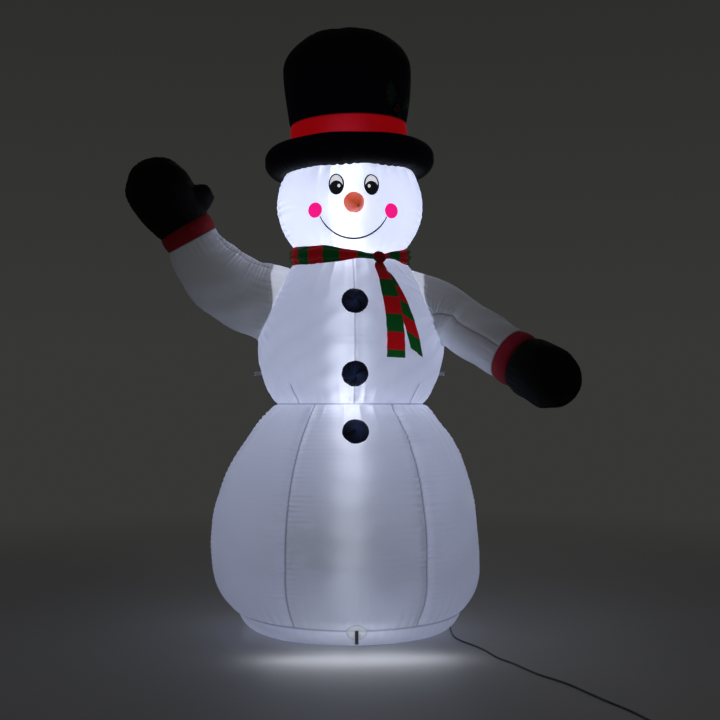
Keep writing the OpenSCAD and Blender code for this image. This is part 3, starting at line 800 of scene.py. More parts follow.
@dataclass
class Shell:
    """A round shell: an outline swept round the upright axis, and leaned over if it is the hat.

    Attributes:
        outline: radius and height of closely spaced points.
        lean: angle in degrees by which the shell leans to -X.
        pivot: height about which it leans.
    """

    outline: Array
    lean: float = 0.0
    pivot: float = 0.0
    steps: Array = field(init=False)

    def __post_init__(self) -> None:
        """Measures the outline."""
        sides = np.linalg.norm(np.diff(self.outline, axis=0), axis=1)
        self.steps = np.concatenate([[0], np.cumsum(sides)])

    @property
    def length(self) -> float:
        """Length of the outline."""
        return float(self.steps[-1])

    def radius_at(self, height: Array) -> Array:
        """Radius at each height, where heights only grow."""
        return np.interp(height, self.outline[:, 1], self.outline[:, 0])

    def spots(self, azimuth: Array, along: Array) -> Spot:
        """Places on the bare shell.

        Args:
            azimuth: azimuths in radians.
            along: distances along the outline.

        Returns:
            The places.
        """
        radius = np.interp(along, self.steps, self.outline[:, 0])
        height = np.interp(along, self.steps, self.outline[:, 1])
        small = 1.5 * MM
        back, ahead = np.clip(along - small, 0, None), np.clip(along + small, None, self.length)
        run = np.interp(
            ahead, self.steps, self.outline[:, 0]
        ) - np.interp(back, self.steps, self.outline[:, 0])
        rise = np.interp(
            ahead, self.steps, self.outline[:, 1]
        ) - np.interp(back, self.steps, self.outline[:, 1])
        size = np.maximum(np.hypot(run, rise), 1e-9)
        out, up = rise / size, -run / size
        sine, cosine = np.sin(azimuth), np.cos(azimuth)
        point = np.stack([radius * sine, -radius * cosine, height], axis=-1)
        normal = np.stack([out * sine, -out * cosine, up], axis=-1)
        if self.lean:
            turn = np.array(Matrix.Rotation(-math.radians(self.lean), 3, "Y"))
            base = np.array([0, 0, self.pivot])
            point, normal = (point - base) @ turn.T + base, normal @ turn.T
        return Spot(azimuth, along, radius, point, normal)


Relief = Callable[[Spot], Array]


@dataclass
class Panel:
    """One sewn panel of a shell.

    Attributes:
        name: the piece's name.
        node: the CAD node that it stands for.
        slot: the record's material slot; not used.
        finish: its finish.
        start: azimuth of its first edge, in degrees.
        stop: azimuth of its last edge.
        low: distance along the outline of its lower edge.
        high: distance along the outline of its upper edge.
        pitch: distance between two points.
        sewn: whether its side, lower and upper edges are seams.
    """

    name: str
    node: str
    slot: str
    finish: Finish
    start: float
    stop: float
    low: float
    high: float
    pitch: float = 5.5 * MM
    sewn: tuple[bool, bool, bool] = (True, True, True)

    def build(
        self, shell: Shell, relief: Relief, lamps: Lamps, body: str,
        holes: Sequence[tuple[Point, float]] = (), extra: Callable[[Spot], Array] | None = None
    ) -> Piece:
        """Makes the panel's mesh and hangs it on its body.

        Args:
            shell: the shell that it is part of.
            relief: height of its folds at each place.
            lamps: the lamps inside.
            body: the CAD body that it rides on.
            holes: centre and radius of each ball that cuts an armhole.
            extra: another seam's distance, in metres, at each place.

        Returns:
            The piece.
        """
        wide = math.radians(self.stop - self.start)
        widest = np.interp(np.linspace(self.low, self.high, 9), shell.steps, shell.outline[:, 0]).max()
        columns = max(8, round(wide * widest / self.pitch)) + 1
        rows = max(4, round((self.high - self.low) / self.pitch)) + 1
        azimuth, along = np.meshgrid(
            np.linspace(math.radians(self.start), math.radians(self.stop), columns),
            np.linspace(self.low, self.high, rows)
        )
        spot = shell.spots(azimuth, along)
        inside = np.zeros(azimuth.shape, bool)
        for centre, radius in holes:
            inside |= self._cut(shell, spot, np.array(centre), radius)
        points = spot.point + spot.normal * relief(spot)[..., None]
        points[..., 2] = np.maximum(points[..., 2], 0.4 * MM)
        normals = grid_normals(points)
        sides = np.minimum(azimuth - azimuth.min(), azimuth.max() - azimuth) * spot.radius
        seams = [
            d for d, on in zip((sides, along - self.low, self.high - along), self.sewn, strict=True) if on
        ]
        if extra is not None:
            seams.append(extra(spot))
        seam = np.min(seams, axis=0) if seams else np.full(azimuth.shape, 1.0)
        middle = (azimuth.min() + azimuth.max()) / 2
        flat = np.stack([(azimuth - middle) * spot.radius, along], axis=-1)
        faces = grid_faces(rows, columns, False)
        if holes:
            hidden = inside.ravel()
            faces = [f for f in faces if not all(hidden[list(f)])]
        piece = make_piece(
            self.name, points, faces, self.finish, flat,
            {
                "seam_mm": np.clip(seam * 1000, 0, 60),
                "glow": lamps.light_at(points, normals) * fold_shade(normals, spot.normal)
            }
        )
        rework(piece, drop_loose_points)
        hang(piece, body, self.node)
        return piece

    @staticmethod
    def _cut(shell: Shell, spot: Spot, centre: Array, radius: float) -> Array:
        """Moves the points just inside a ball out to its edge along the shell, and says which are inside."""
        gap = np.linalg.norm(spot.point - centre, axis=-1)
        inside = gap < radius
        for _ in range(6):
            away = spot.point[inside] - centre
            held = centre + away / np.linalg.norm(away, axis=1, keepdims=True) * radius
            flat_r = np.hypot(held[:, 0], held[:, 1])
            held[:, :2] *= (shell.radius_at(held[:, 2]) / flat_r)[:, None]
            spot.point[inside] = held
        return inside


def fold_shade(folded: Array, smooth: Array) -> Array:
    """Share of the lamp light on each side of a fold, from the cloth's normals with and without folds."""
    towards = np.array([-0.55, -0.25, 0.80])
    return np.clip(1 + 0.95 * ((folded - smooth) @ towards), 0.5, 1.35)


def seam_gap(azimuth: Array, seams: Sequence[float]) -> tuple[Array, Array]:
    """Finds the nearest upright seam.

    Args:
        azimuth: azimuths in radians.
        seams: azimuths of the seams in degrees.

    Returns:
        The angle to the nearest seam in radians, and that seam's number.
    """
    turned = azimuth[..., None] - np.radians(np.asarray(seams))
    gaps = np.abs((turned + math.pi) % (2 * math.pi) - math.pi)
    return gaps.min(-1), gaps.argmin(-1)


def arc(
    centre: tuple[float, float], size: tuple[float, float], start: float, stop: float, count: int
) -> Array:
    """Points of an elliptical arc, given its middle, two radii and end angles in degrees."""
    angle = np.radians(np.linspace(start, stop, count))
    return np.stack([centre[0] + size[0] * np.cos(angle), centre[1] + size[1] * np.sin(angle)], axis=1)


def joined(*runs: Array) -> Array:
    """Runs of points end to end, without the points that two runs share."""
    return np.concatenate([runs[0], *(r[1:] for r in runs[1:])])


def ellipse_height(radius: float, end_radius: float, height: float) -> float:
    """Half height of an ellipse of some radius that has end_radius at a height."""
    return height / math.sqrt(1 - (end_radius / radius) ** 2)


# ---------------------------------------------------------------- studio and lead


@dataclass
class Studio:
    """A plain pale floor, dim soft light and the camera.

    Attributes:
        camera_at: where the camera stands.
        azimuth: the way that it looks, in degrees from +Y towards -X.
        lens: its focal length in millimetres.
        rise: its upward shift.
        air: linear colour of the far floor and of the air above it.
        pool_at: middle of the lamp that makes the pool of light before the base.
        pool_size: that lamp's width and depth.
    """

    camera_at: Point = (-0.2575, -4.8694, 0.9)
    azimuth: float = -3.5
    lens: float = 60.5
    rise: float = 0.0611
    air: Point = (0.0385, 0.0385, 0.0372)
    pool_at: Point = (0.0, -0.615, 0.11)
    pool_size: tuple[float, float] = (0.72, 0.18)

    def build(self) -> None:
        """Makes the camera, the floor, the lights and the air round them."""
        scene = bpy.context.scene
        camera = shown("camera", bpy.data.cameras.new("camera"))
        camera.data.lens, camera.data.sensor_width = self.lens, 36.0
        camera.data.shift_y = self.rise
        camera.location = self.camera_at
        camera.rotation_euler = (math.radians(90), 0.0, math.radians(self.azimuth))
        scene.camera = camera
        scene.view_settings.view_transform = "Standard"
        self._floor()
        self._air()
        self._light("key", (-2.6, -3.4, 3.4), (0, 0, 1.2), 2.4, 6)
        self._light("fill", (3.2, -2.6, 2.2), (0, 0, 1.2), 2.4, 3)
        pool = self._light("pool", self.pool_at, (*self.pool_at[:2], 0), self.pool_size[0], 0.60)
        pool.data.shape, (pool.data.size, pool.data.size_y) = "ELLIPSE", self.pool_size
        pool.data.color = LAMP_TINT
        pool.visible_camera = False
        self._light("back", (0.6, 3.6, 3.0), (0, 0, 1.3), 3.0, 7)

    def _floor(self) -> None:
        """Lays a flat pale floor that fades into the colour of the air far away."""
        half = 14.0
        mesh = bpy.data.meshes.new("floor")
        corners = [(-half, -half, 0), (half, -half, 0), (half, half, 0), (-half, half, 0)]
        mesh.from_pydata(corners, [], [(0, 1, 2, 3)])
        floor = shown("floor", mesh)
        material, tree, output = blank_material("pale_floor")
        place = add_node(tree, "TexCoord")
        cloud = add_node(
            tree, "TexNoise", feeds={"Vector": place.outputs["Object"], "Scale": 1.4, "Detail": 4.0}
        )
        tone = add_node(
            tree, "Mix", {"data_type": "RGBA"},
            {0: cloud.outputs["Fac"], 6: linear("#a5a5a4"), 7: linear("#adadac")}
        )
        shader = add_node(tree, "BsdfPrincipled", feeds={"Base Color": tone.outputs[2], "Roughness": 0.55})
        away = add_node(tree, "VectorMath", {"operation": "LENGTH"}, {0: place.outputs["Object"]})
        fade = add_node(
            tree, "MapRange", {"interpolation_type": "SMOOTHSTEP"},
            {"Value": away.outputs["Value"], "From Min": 1.2, "From Max": 5.5}
        )
        haze = add_node(tree, "Emission", feeds={"Color": (*self.air, 1), "Strength": 1.0})
        mixed = add_node(
            tree, "MixShader", feeds={0: fade.outputs[0], 1: shader.outputs[0], 2: haze.outputs[0]}
        )
        tree.links.new(mixed.outputs[0], output.inputs[0])
        mesh.materials.append(material)

    def _air(self) -> None:
        """Fills the studio with a dim grey, which darkens upwards."""
        world = bpy.data.worlds.new("studio")
        world.use_nodes = True
        tree = world.node_tree
        way = add_node(tree, "TexCoord")
        parts = add_node(tree, "SeparateXYZ", feeds={0: way.outputs["Generated"]})
        up = add_node(
            tree, "MapRange",
            feeds={
                "Value": parts.outputs["Z"], "From Min": 0.05, "From Max": 0.36, "To Min": 1.0, "To Max": 0.66
            }
        )
        shade = add_node(tree, "VectorMath", {"operation": "SCALE"}, {0: self.air, "Scale": up.outputs[0]})
        tree.links.new(shade.outputs[0], tree.nodes["Background"].inputs["Color"])
        bpy.context.scene.world = world

    def _light(self, name: str, at: Point, towards: Point, size: float, power: float) -> Piece:
        """Hangs one soft square light."""
        light = shown(name, bpy.data.lights.new(name, "AREA"))
        light.data.size, light.data.energy = size, power
        light.location = at
        light.rotation_euler = (Vector(towards) - Vector(at)).to_track_quat("-Z", "Y").to_euler()
        return light


@dataclass
class MainsLead:
    """The mains lead: from the gland behind, round the right of the base, away in front, coiled and plugged.

    Attributes:
        route: points in millimetres, as the lead's solid follows them.
        coil_at: middle of the coil on the floor, in millimetres.
        lanes: radius of each turn in a layer, from the outside in.
        layers: height of the turns' middle in the two layers.
        diameter: thickness of the lead.
        length: its real length; not used.
    """

    coil_at: tuple[float, float] = (845.0, -1660.0)
    lanes: tuple[float, ...] = (49.0, 42.35, 35.7, 29.05)
    layers: tuple[float, float] = (4.5, 11.1)
    diameter: float = 6.5 * MM
    length: float = 5.0
    route: tuple[Point, ...] = (
        (0, 539, 154), (0, 539, 120), (1, 542, 82), (6, 549, 46), (20, 558, 20), (44, 566, 7), (80, 570, 3.3),
        (135, 563, 3.3), (200, 543, 3.3), (265, 510, 3.3), (325, 462, 3.3), (376, 402, 3.3), (414, 332, 3.3),
        (434, 258, 3.3), (437, 185, 3.3), (427, 115, 3.3), (412, 48, 3.3), (402, -20, 3.3), (396, -92, 3.3),
        (391, -165, 3.3), (390, -245, 3.3), (408, -328, 3.3), (438, -408, 3.3), (463, -490, 3.3),
        (476, -562, 3.3), (492, -640, 3.3), (529, -735, 3.3), (556, -828, 3.3), (584, -912, 3.3),
        (632, -1012, 3.3), (660, -1092, 3.3), (684, -1180, 3.3), (716, -1290, 3.3), (746, -1380, 3.3),
        (768, -1480, 3.3), (786, -1560, 3.3), (795, -1612, 4), (796, -1638, 4.5)
    )

    def coil(self) -> list[Point]:
        """Points of the coil: four turns inwards on the floor, then four and a half outwards on top."""
        per_turn = 28
        step_share = 0.14
        out = []
        inward, outward = list(self.lanes), list(reversed(self.lanes))
        for layer, lanes, turns in ((0, inward, 4.0), (1, outward, 4.5)):
            for i in range(round(turns * per_turn)):
                turn = i / per_turn
                lane = min(int(turn), 3)
                last = lane == 3
                part = max(0.0, (turn - lane - (1 - step_share)) / step_share) if turn < 4 else 0.0
                gentle = eased(part)
                radius = lanes[lane] + (0 if last else (lanes[lane + 1] - lanes[lane]) * gentle)
                rise = (self.layers[1] - self.layers[0]) * gentle if last and layer == 0 else 0.0
                angle = math.pi + 2 * math.pi * turn
                x = self.coil_at[0] + radius * math.cos(angle)
                y = self.coil_at[1] + radius * math.sin(angle)
                out.append((x, y, self.layers[layer] + rise))
        return out

    def build(self) -> None:
        """Makes the lead as one curve in place of its CAD nodes, and logs its length."""
        start = smooth_route(np.array(self.route, float), 6)
        coil = self.coil()
        end_x = self.coil_at[0] + self.lanes[0]
        middle_y = self.coil_at[1]
        to_plug = [
            (end_x, middle_y, 11.1), (end_x, middle_y + 8, 10.6), (end_x, middle_y + 16, 8.9),
            (end_x, middle_y + 25, 7.0)
        ]
        points = np.array([*start, *coil, *to_plug]) * MM
        curve = bpy.data.curves.new("mains_lead", "CURVE")
        curve.dimensions = "3D"
        line = curve.splines.new("POLY")
        line.points.add(len(points) - 1)
        for spot, place in zip(line.points, points, strict=True):
            spot.co = (*place, 1.0)
        curve.bevel_depth, curve.bevel_resolution = self.diameter / 2, 4
        curve.materials.append(material_of(Finish.JACKET))
        lead = shown("mains_lead", curve)
        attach(lead, "snowman")
        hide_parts("power_lead", "power_coil")
        log.info("mains lead: %.3f m", float(np.linalg.norm(np.diff(points, axis=0), axis=1).sum()))


# ---------------------------------------------------------------- lower body


@dataclass
class LowerBody:
    """Six gores round the belly and the round panel that it stands on."""

    belly: float = 0.528
    straight: tuple[float, float] = (0.250, 0.340)
    skirt: float = 0.272
    seam_height: float = 0.070
    flat: float = 0.360
    waist: tuple[float, float] = (0.291, 0.900)
    seams: tuple[float, ...] = (-150, -90, -30, 30, 90, 150)
    shell: Shell = field(init=False)
    base_along: float = field(init=False)

    def __post_init__(self) -> None:
        """Draws the outline from the middle of the base up to the waist."""
        drop = math.degrees(math.asin((self.straight[0] - self.seam_height) / self.skirt))
        skirt_x = self.belly - self.skirt
        seam_r = skirt_x + self.skirt * math.cos(math.radians(drop))
        curl = ((seam_r - self.flat) ** 2 + self.seam_height**2) / (2 * self.seam_height)
        tall = ellipse_height(self.belly, self.waist[0], self.waist[1] - self.straight[1])
        end = math.degrees(math.acos(self.waist[0] / self.belly))
        floor = np.stack([np.linspace(0, self.flat, 40), np.zeros(40)], axis=1)
        rise = arc(
            (self.flat, curl), (curl, curl), -90, math.degrees(math.asin(self.seam_height / curl - 1)), 30
        )
        skirt = arc((skirt_x, self.straight[0]), (self.skirt, self.skirt), -drop, 0, 50)
        wall = np.array([[self.belly, self.straight[0]], [self.belly, self.straight[1]]])
        upper = arc((0, self.straight[1]), (self.belly, tall), 0, end, 120)
        self.shell = Shell(joined(floor, rise, skirt, wall, upper))
        self.base_along = float(self.shell.steps[40 + 29 - 1])

    def relief(self, spot: Spot) -> Array:
        """Folds of the belly: puckers off each seam, a pinched seam line and a broad uneven swell."""
        turn = spot.azimuth / (2 * math.pi)
        to_waist = self.shell.length - spot.along
        to_base = np.abs(spot.along - self.base_along)
        above = spot.along > self.base_along
        edge = (1 - bell(to_waist, 0.014)) * (1 - bell(to_base, 0.010))
        gap, number = seam_gap(spot.azimuth, self.seams)
        across = gap * spot.radius
        rise = (spot.along - self.base_along) / (self.shell.length - self.base_along)
        lively = np.clip(0.35 + 1.1 * rise, 0, 1.1)
        upright = -0.0085 * bell(across, 0.020) + 0.003 * (1 - bell(across, 0.11))
        for k in range(len(self.seams)):
            puckers = gathers(across, np.clip(rise, 0, 1), 40, 0.0046, 0.050, 40 + 3 * k) * lively
            upright = upright + np.where(number == k, puckers, 0)
        waist = gathers(to_waist, turn, 44, 0.0055, 0.075, 7)
        base = gathers(to_base, turn, 64, 0.0042, 0.050, 9)
        broad = 0.0035 * sway(turn + 0.15 * rise, 5, 21) + 0.0022 * sway(turn - 0.4 * rise, 11, 22)
        height = bell(spot.point[..., 2] - 0.40, 0.26)
        left = np.clip(-np.sin(spot.azimuth), 0, 1) ** 4
        right = np.clip(np.sin(spot.azimuth), 0, 1) ** 4
        fuller = (0.030 * left - 0.016 * right) * height
        body = np.where(above, upright + waist + broad + fuller, 0.0) + base
        lying = np.clip((spot.radius - 0.33) / 0.06, 0, 1) if np.any(~above) else 1.0
        level = np.where(above, 1.0, lying)
        tuck = -0.018 * np.sin(spot.azimuth) ** 2 * bell(to_base, 0.085)
        return tuck * level + level * (edge * body - 0.0015 * bell(to_base, 0.008))

    def build(self, lamps: Lamps) -> None:
        """Makes the six gores and the base panel."""
        names = ("front", "front_right", "back_right", "back", "back_left", "front_left")
        for k, name in enumerate(names):
            start = -30 + 60 * k
            panel = Panel(
                f"cloth_gore_{name}", f"gore_{name}", "snow_fabric", Finish.WHITE_TAFFETA, start, start + 60,
                self.base_along, self.shell.length
            )
            panel.build(self.shell, self.relief, lamps, "snowman")
        base = Panel(
            "cloth_base", "base_panel", "snow_fabric", Finish.WHITE_TAFFETA, -180, 180, 0.0, self.base_along,
            9 * MM, (False, False, True)
        )
        base.build(self.shell, self.relief, lamps, "snowman")
        log.info("lower body: six gores and a base panel")


# ---------------------------------------------------------------- torso


@dataclass
class Torso:
    """Two front panels and one back panel, from the waist to the neck, with an armhole on each side."""

    waist: tuple[float, float] = (0.291, 0.900)
    chest: tuple[float, float] = (0.371, 1.130)
    neck: tuple[float, float] = (0.180, 1.487)
    armholes: tuple[tuple[Point, float], ...] = (
        ((-0.308, -0.004, 1.299), 0.1555), ((0.306, -0.030, 1.290), 0.1555)
    )
    seams: tuple[float, ...] = (-90, 0, 90)
    shell: Shell = field(init=False)

    def __post_init__(self) -> None:
        """Draws the outline from the waist to the neck."""
        low = ellipse_height(self.chest[0], self.waist[0], self.chest[1] - self.waist[1])
        high = ellipse_height(self.chest[0], self.neck[0], self.neck[1] - self.chest[1])
        start = -math.degrees(math.acos(self.waist[0] / self.chest[0]))
        end = math.degrees(math.acos(self.neck[0] / self.chest[0]))
        lower = arc((0, self.chest[1]), (self.chest[0], low), start, 0, 60)
        upper = arc((0, self.chest[1]), (self.chest[0], high), 0, end, 80)
        self.shell = Shell(joined(lower, upper))

    def dart_gap(self, spot: Spot) -> Array:
        """Distance to the two darts that take in the front above the waist."""
        long = 0.085
        gap = np.full(spot.along.shape, 1.0)
        for start, end in ((-45.0, -46.0), (49.5, 51.0)):
            share = np.clip(spot.along / long, 0, 1)
            line = np.radians(start + (end - start) * share)
            aside = np.abs(spot.azimuth - line) * spot.radius
            gap = np.minimum(gap, np.hypot(aside, np.clip(spot.along - long, 0, None)))
        return gap

    def relief(self, spot: Spot) -> Array:
        """Folds of the chest: puckers off the waist, the neck, the seams, the darts and the armholes."""
        turn = spot.azimuth / (2 * math.pi)
        to_neck = self.shell.length - spot.along
        edge = (1 - bell(spot.along, 0.014)) * (1 - bell(to_neck, 0.014))
        gap, number = seam_gap(spot.azimuth, self.seams)
        across = gap * spot.radius
        rise = spot.along / self.shell.length
        upright = -0.006 * bell(across, 0.016)
        for k in range(len(self.seams)):
            puckers = gathers(across, rise, 24, 0.0026, 0.030, 80 + 3 * k)
            upright = upright + np.where(number == k, puckers, 0)
        waist = gathers(spot.along, turn, 46, 0.0050, 0.060, 17)
        neck = gathers(to_neck, turn, 30, 0.0050, 0.080, 19)
        darts = -0.0055 * bell(self.dart_gap(spot), 0.011)
        broad = 0.003 * sway(turn + 0.2 * rise, 5, 23) + 0.0018 * sway(turn - 0.5 * rise, 12, 24)
        height = edge * (upright + waist + neck + darts + broad)
        for k, (centre, radius) in enumerate(self.armholes):
            away = spot.point - np.array(centre)
            out = np.clip(np.linalg.norm(away, axis=-1) - radius, 0, None)
            round_it = np.arctan2(away[..., 2], away[..., 1]) / (2 * math.pi)
            height = height * (1 - bell(out, 0.010))
            height = height + gathers(
                out, round_it, 30, 0.0055, 0.055, 90 + 3 * k
            ) * (1 - np.exp(-out / 0.006))
        return height

    def build(self, lamps: Lamps) -> None:
        """Makes the three panels."""
        for name, start, stop in (("front_left", -90, 0), ("front_right", 0, 90), ("back", 90, 270)):
            panel = Panel(
                f"cloth_torso_{name}", f"torso_{name}", "snow_fabric", Finish.WHITE_TAFFETA, start, stop, 0.0,
                self.shell.length
            )
            panel.build(self.shell, self.relief, lamps, "snowman", self.armholes, self.dart_gap)
        log.info("torso: three panels")


# ---------------------------------------------------------------- head and face


@dataclass
class Head:
    """The round head and what is printed or sewn on its face."""

    neck: tuple[float, float] = (0.180, 1.487)
    wide: tuple[float, float] = (0.292, 1.698)
    brim: tuple[float, float] = (0.258, 1.820)
    side: float = 80.0
    eye: tuple[float, float] = (0.067, 1.735)
    eye_size: tuple[float, float] = (0.055, 0.077)
    cheek: tuple[float, float] = (0.146, 1.641)
    cheek_size: tuple[float, float] = (0.051, 0.056)
    smile: tuple[float, float, float] = (0.143, 1.677, 65.0)
    shell: Shell = field(init=False)

    def __post_init__(self) -> None:
        """Draws the outline from the neck to just inside the brim."""
        low = ellipse_height(self.wide[0], self.neck[0], self.wide[1] - self.neck[1])
        high = ellipse_height(self.wide[0], self.brim[0], self.brim[1] - self.wide[1])
        start = -math.degrees(math.acos(self.neck[0] / self.wide[0]))
        past = math.degrees(math.asin((self.brim[1] + 0.012 - self.wide[1]) / high))
        lower = arc((0, self.wide[1]), (self.wide[0], low), start, 0, 60)
        upper = arc((0, self.wide[1]), (self.wide[0], high), 0, past, 40)
        self.shell = Shell(joined(lower, upper))

    def relief(self, spot: Spot) -> Array:
        """Folds of the head: puckers below the brim, above the neck and off the side seams."""
        turn = spot.azimuth / (2 * math.pi)
        to_brim = self.shell.length - 0.012 - spot.along
        under = np.clip(to_brim, 0, None)
        edge = (1 - bell(spot.along, 0.012)) * (1 - bell(under, 0.012))
        gap, number = seam_gap(spot.azimuth, (-self.side, self.side))
        across = gap * spot.radius
        upright = -0.005 * bell(across, 0.015)
        for k in range(2):
            puckers = gathers(across, spot.along / self.shell.length, 16, 0.0046, 0.045, 110 + 3 * k)
            upright = upright + np.where(number == k, puckers, 0)
        top = gathers(under, turn, 34, 0.0062, 0.040, 27)
        neck = gathers(spot.along, turn, 34, 0.0050, 0.045, 29)
        notch = -0.003 * bell(spot.azimuth * spot.radius, 0.007) * bell(under, 0.045)
        return edge * (upright + top + neck + notch + 0.0018 * sway(turn, 6, 31))

    def on_face(self, x: Array, z: Array, lift: float | Array) -> tuple[Array, Array]:
        """Places on the front of the head.

        Args:
            x: distances to the side.
            z: heights.
            lift: height above the cloth.

        Returns:
            The places, and the outward normals there.
        """
        radius = self.shell.radius_at(z)
        azimuth = np.arcsin(np.clip(x / radius, -0.999, 0.999))
        along = np.interp(z, self.shell.outline[:, 1], self.shell.steps)
        spot = self.shell.spots(azimuth, along)
        height = self.relief(spot) + lift
        return spot.point + spot.normal * height[..., None], spot.normal

    def printed(
        self, name: str, finish: Finish, rings: Array, lamps: Lamps, closed: bool, lift: float
    ) -> Piece:
        """Lays one printed patch on the face.

        Args:
            name: the piece's name.
            finish: its finish.
            rings: side distances and heights, one row of points for each ring.
            lamps: the lamps inside.
            closed: True if each ring is closed.
            lift: height above the cloth.

        Returns:
            The piece.
        """
        heights = np.full(rings.shape[:2], lift)
        heights[0] = 0.0
        if not closed:
            heights[-1] = 0.0
        points, normals = self.on_face(rings[..., 0], rings[..., 1], heights)
        faces = grid_faces(len(rings), rings.shape[1], closed)
        if closed:
            faces = [tuple(reversed(f)) for f in faces]
            faces.append(tuple(range((len(rings) - 1) * rings.shape[1], len(rings) * rings.shape[1])))
        piece = make_piece(
            name, points, faces, finish, rings,
            {"glow": lamps.light_at(points, normals), "seam_mm": np.full(rings.shape[:2], 60.0)}
        )
        rework(piece, turn_outwards)
        hang(piece, "snowman")
        return piece

    def oval(self, x: float, z: float, width: float, height: float) -> Array:
        """Rings of an oval patch from its edge to its middle."""
        turn = np.linspace(0, 2 * math.pi, 48, endpoint=False)
        shares = np.array([1, 0.985, 0.8, 0.6, 0.4, 0.2, 0.05])[:, None]
        across = shares * (width / 2) * np.cos(turn)
        up = shares * (height / 2) * np.sin(turn)
        return np.stack([x + across, z + up], axis=-1)

    def build(self, lamps: Lamps) -> None:
        """Makes the two head panels and the face."""
        for name, start, stop in (("front", -self.side, self.side), ("back", self.side, 360 - self.side)):
            panel = Panel(
                f"cloth_head_{name}", f"head_{name}", "snow_fabric", Finish.WHITE_TAFFETA, start, stop, 0.0,
                self.shell.length - 0.004, 4.5 * MM
            )
            panel.build(self.shell, self.relief, lamps, "snowman")
        self._eyes(lamps)
        self._cheeks_and_smile(lamps)
        log.info("head: two panels, eyes, cheeks and smile")

    def _eyes(self, lamps: Lamps) -> None:
        """Prints each eye: a dark outline, the white, a slate pupil set low and a glint."""
        x, z = self.eye
        width, height = self.eye_size
        black, white, slate = Finish.BLACK_PRINT, Finish.EYE_WHITE_PRINT, Finish.SLATE_PRINT
        # Word, finish, slot, shifts inwards and down, width, height, lift in millimetres, and CAD node.
        prints = (
            ("outline", black, "dark_print", 0, 0, width + 0.004, height + 0.005, 1.4, None),
            ("white", white, "white_print", 0, 0, width - 0.007, height - 0.006, 1.9, "eye_whites"),
            ("pupil", slate, "dark_print", 0, 0.0125, width - 0.005, height - 0.025, 2.5, "pupils"),
            ("glint", white, "white_print", 0.010, 0.0075, 0.011, 0.013, 3.1, None),
        )
        for side in Side:
            for word, finish, slot, inwards, down, wide, tall, lift, node in prints:
                rings = self.oval(side.value * (x - inwards), z - down, wide, tall)
                name = f"eye_{word}_{side.name.lower()}"
                patch = self.printed(name, finish, rings, lamps, True, lift * MM)
                if node and side is Side.LEFT:
                    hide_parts(node)

    def _cheeks_and_smile(self, lamps: Lamps) -> None:
        """Prints the round cheeks and the thin smile."""
        x, z = self.cheek
        for side in Side:
            rings = self.oval(side.value * x, z, *self.cheek_size)
            name = f"cheek_{side.name.lower()}"
            cheek = self.printed(name, Finish.MAGENTA_PRINT, rings, lamps, True, 1.8 * MM)
            if side is Side.LEFT:
                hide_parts("cheeks")
        radius, middle, half = self.smile
        angle = np.radians(np.linspace(-90 - half, -90 + half, 70))
        thin = 0.0024 * (1 - 0.45 * np.abs(np.linspace(-1, 1, 70)) ** 3)
        rows = []
        for share in (-1.05, -1.0, -0.4, 0.4, 1.0, 1.05):
            reach = radius - 0.0022 + share * thin
            rows.append(np.stack([reach * np.cos(angle), middle + reach * np.sin(angle)], axis=1))
        mouth = self.printed(
            "smile", Finish.BLACK_PRINT, np.array(rows), lamps, False, 1.9 * MM
        )
        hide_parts("mouth")


@dataclass
class CarrotNose:
    """A stuffed carrot nose, sewn to the face: widest at the face and blunt at the tip."""

    base: float = 0.0375
    long: float = 0.160
    height: float = 1.664
    droop: float = 14.0
    turn: float = 3.0
    sunk: float = 0.025

    def build(self, head: Head) -> None:
        """Makes the nose from the line where it meets the face to its tip."""
        start = np.array([0, -head.wide[0], self.height])
        down, aside = math.radians(self.droop), math.radians(self.turn)
        way = unit((math.sin(aside) * math.cos(down), -math.cos(aside) * math.cos(down), -math.sin(down)))
        around, rows = 64, 60
        angle = np.linspace(0, 2 * math.pi, around, endpoint=False)
        side = unit(np.cross(way, (0.0, 0.0, 1.0)))
        up = np.cross(side, way)
        spokes = np.cos(angle)[:, None] * side + np.sin(angle)[:, None] * up
        reach = np.linspace(-self.sunk, self.long, 400)
        share = np.clip(reach / self.long, 0, 1)
        radius = self.base * (1 - share) ** 0.72 + 0.0015
        cloud = start + reach[:, None, None] * way + radius[:, None, None] * spokes[None]
        beyond = np.hypot(cloud[..., 0], cloud[..., 1]) - head.shell.radius_at(cloud[..., 2])
        first = np.array([reach[np.argmax(beyond[:, k] > -0.001)] for k in range(around)])
        t = np.linspace(0, 1, rows) ** 1.15
        grid = first[None] + (self.long - first[None]) * t[:, None]
        thick = self.base * (1 - np.clip(grid / self.long, 0, 1)) ** 0.72 + 0.0015 * (1 - t[:, None])
        turn = np.broadcast_to(angle / (2 * math.pi), grid.shape)
        from_face = grid - first[None]
        seam = 0.0022 * np.exp(-(((turn + 0.25) % 1 * 0.2) ** 2) / 0.0002)
        dent = gathers(from_face, turn, 18, 0.0022, 0.022, 57) - seam
        thick = thick + dent * (1 - t[:, None]) + 0.0012 * sway(
            turn + 0.5 * t[:, None], 4, 58
        ) * (1 - t[:, None])
        points = start + grid[..., None] * way + np.maximum(thick, 0.0)[..., None] * spokes[None]
        light = 38 - 12 * t[:, None] - 22 * bell(1 - t[:, None], 0.06) + 0 * grid
        faces = grid_faces(rows, around, True)
        flat = np.stack([turn * 0.2, grid], axis=-1)
        piece = make_piece(
            "carrot_nose", points, faces, Finish.CARROT_TAFFETA, flat,
            {"glow": light, "seam_mm": np.clip(from_face * 1000, 0, 60)}
        )
        rework(piece, turn_outwards)
        hang(piece, "snowman", "nose")
        log.info("carrot nose")


# ---------------------------------------------------------------- hat


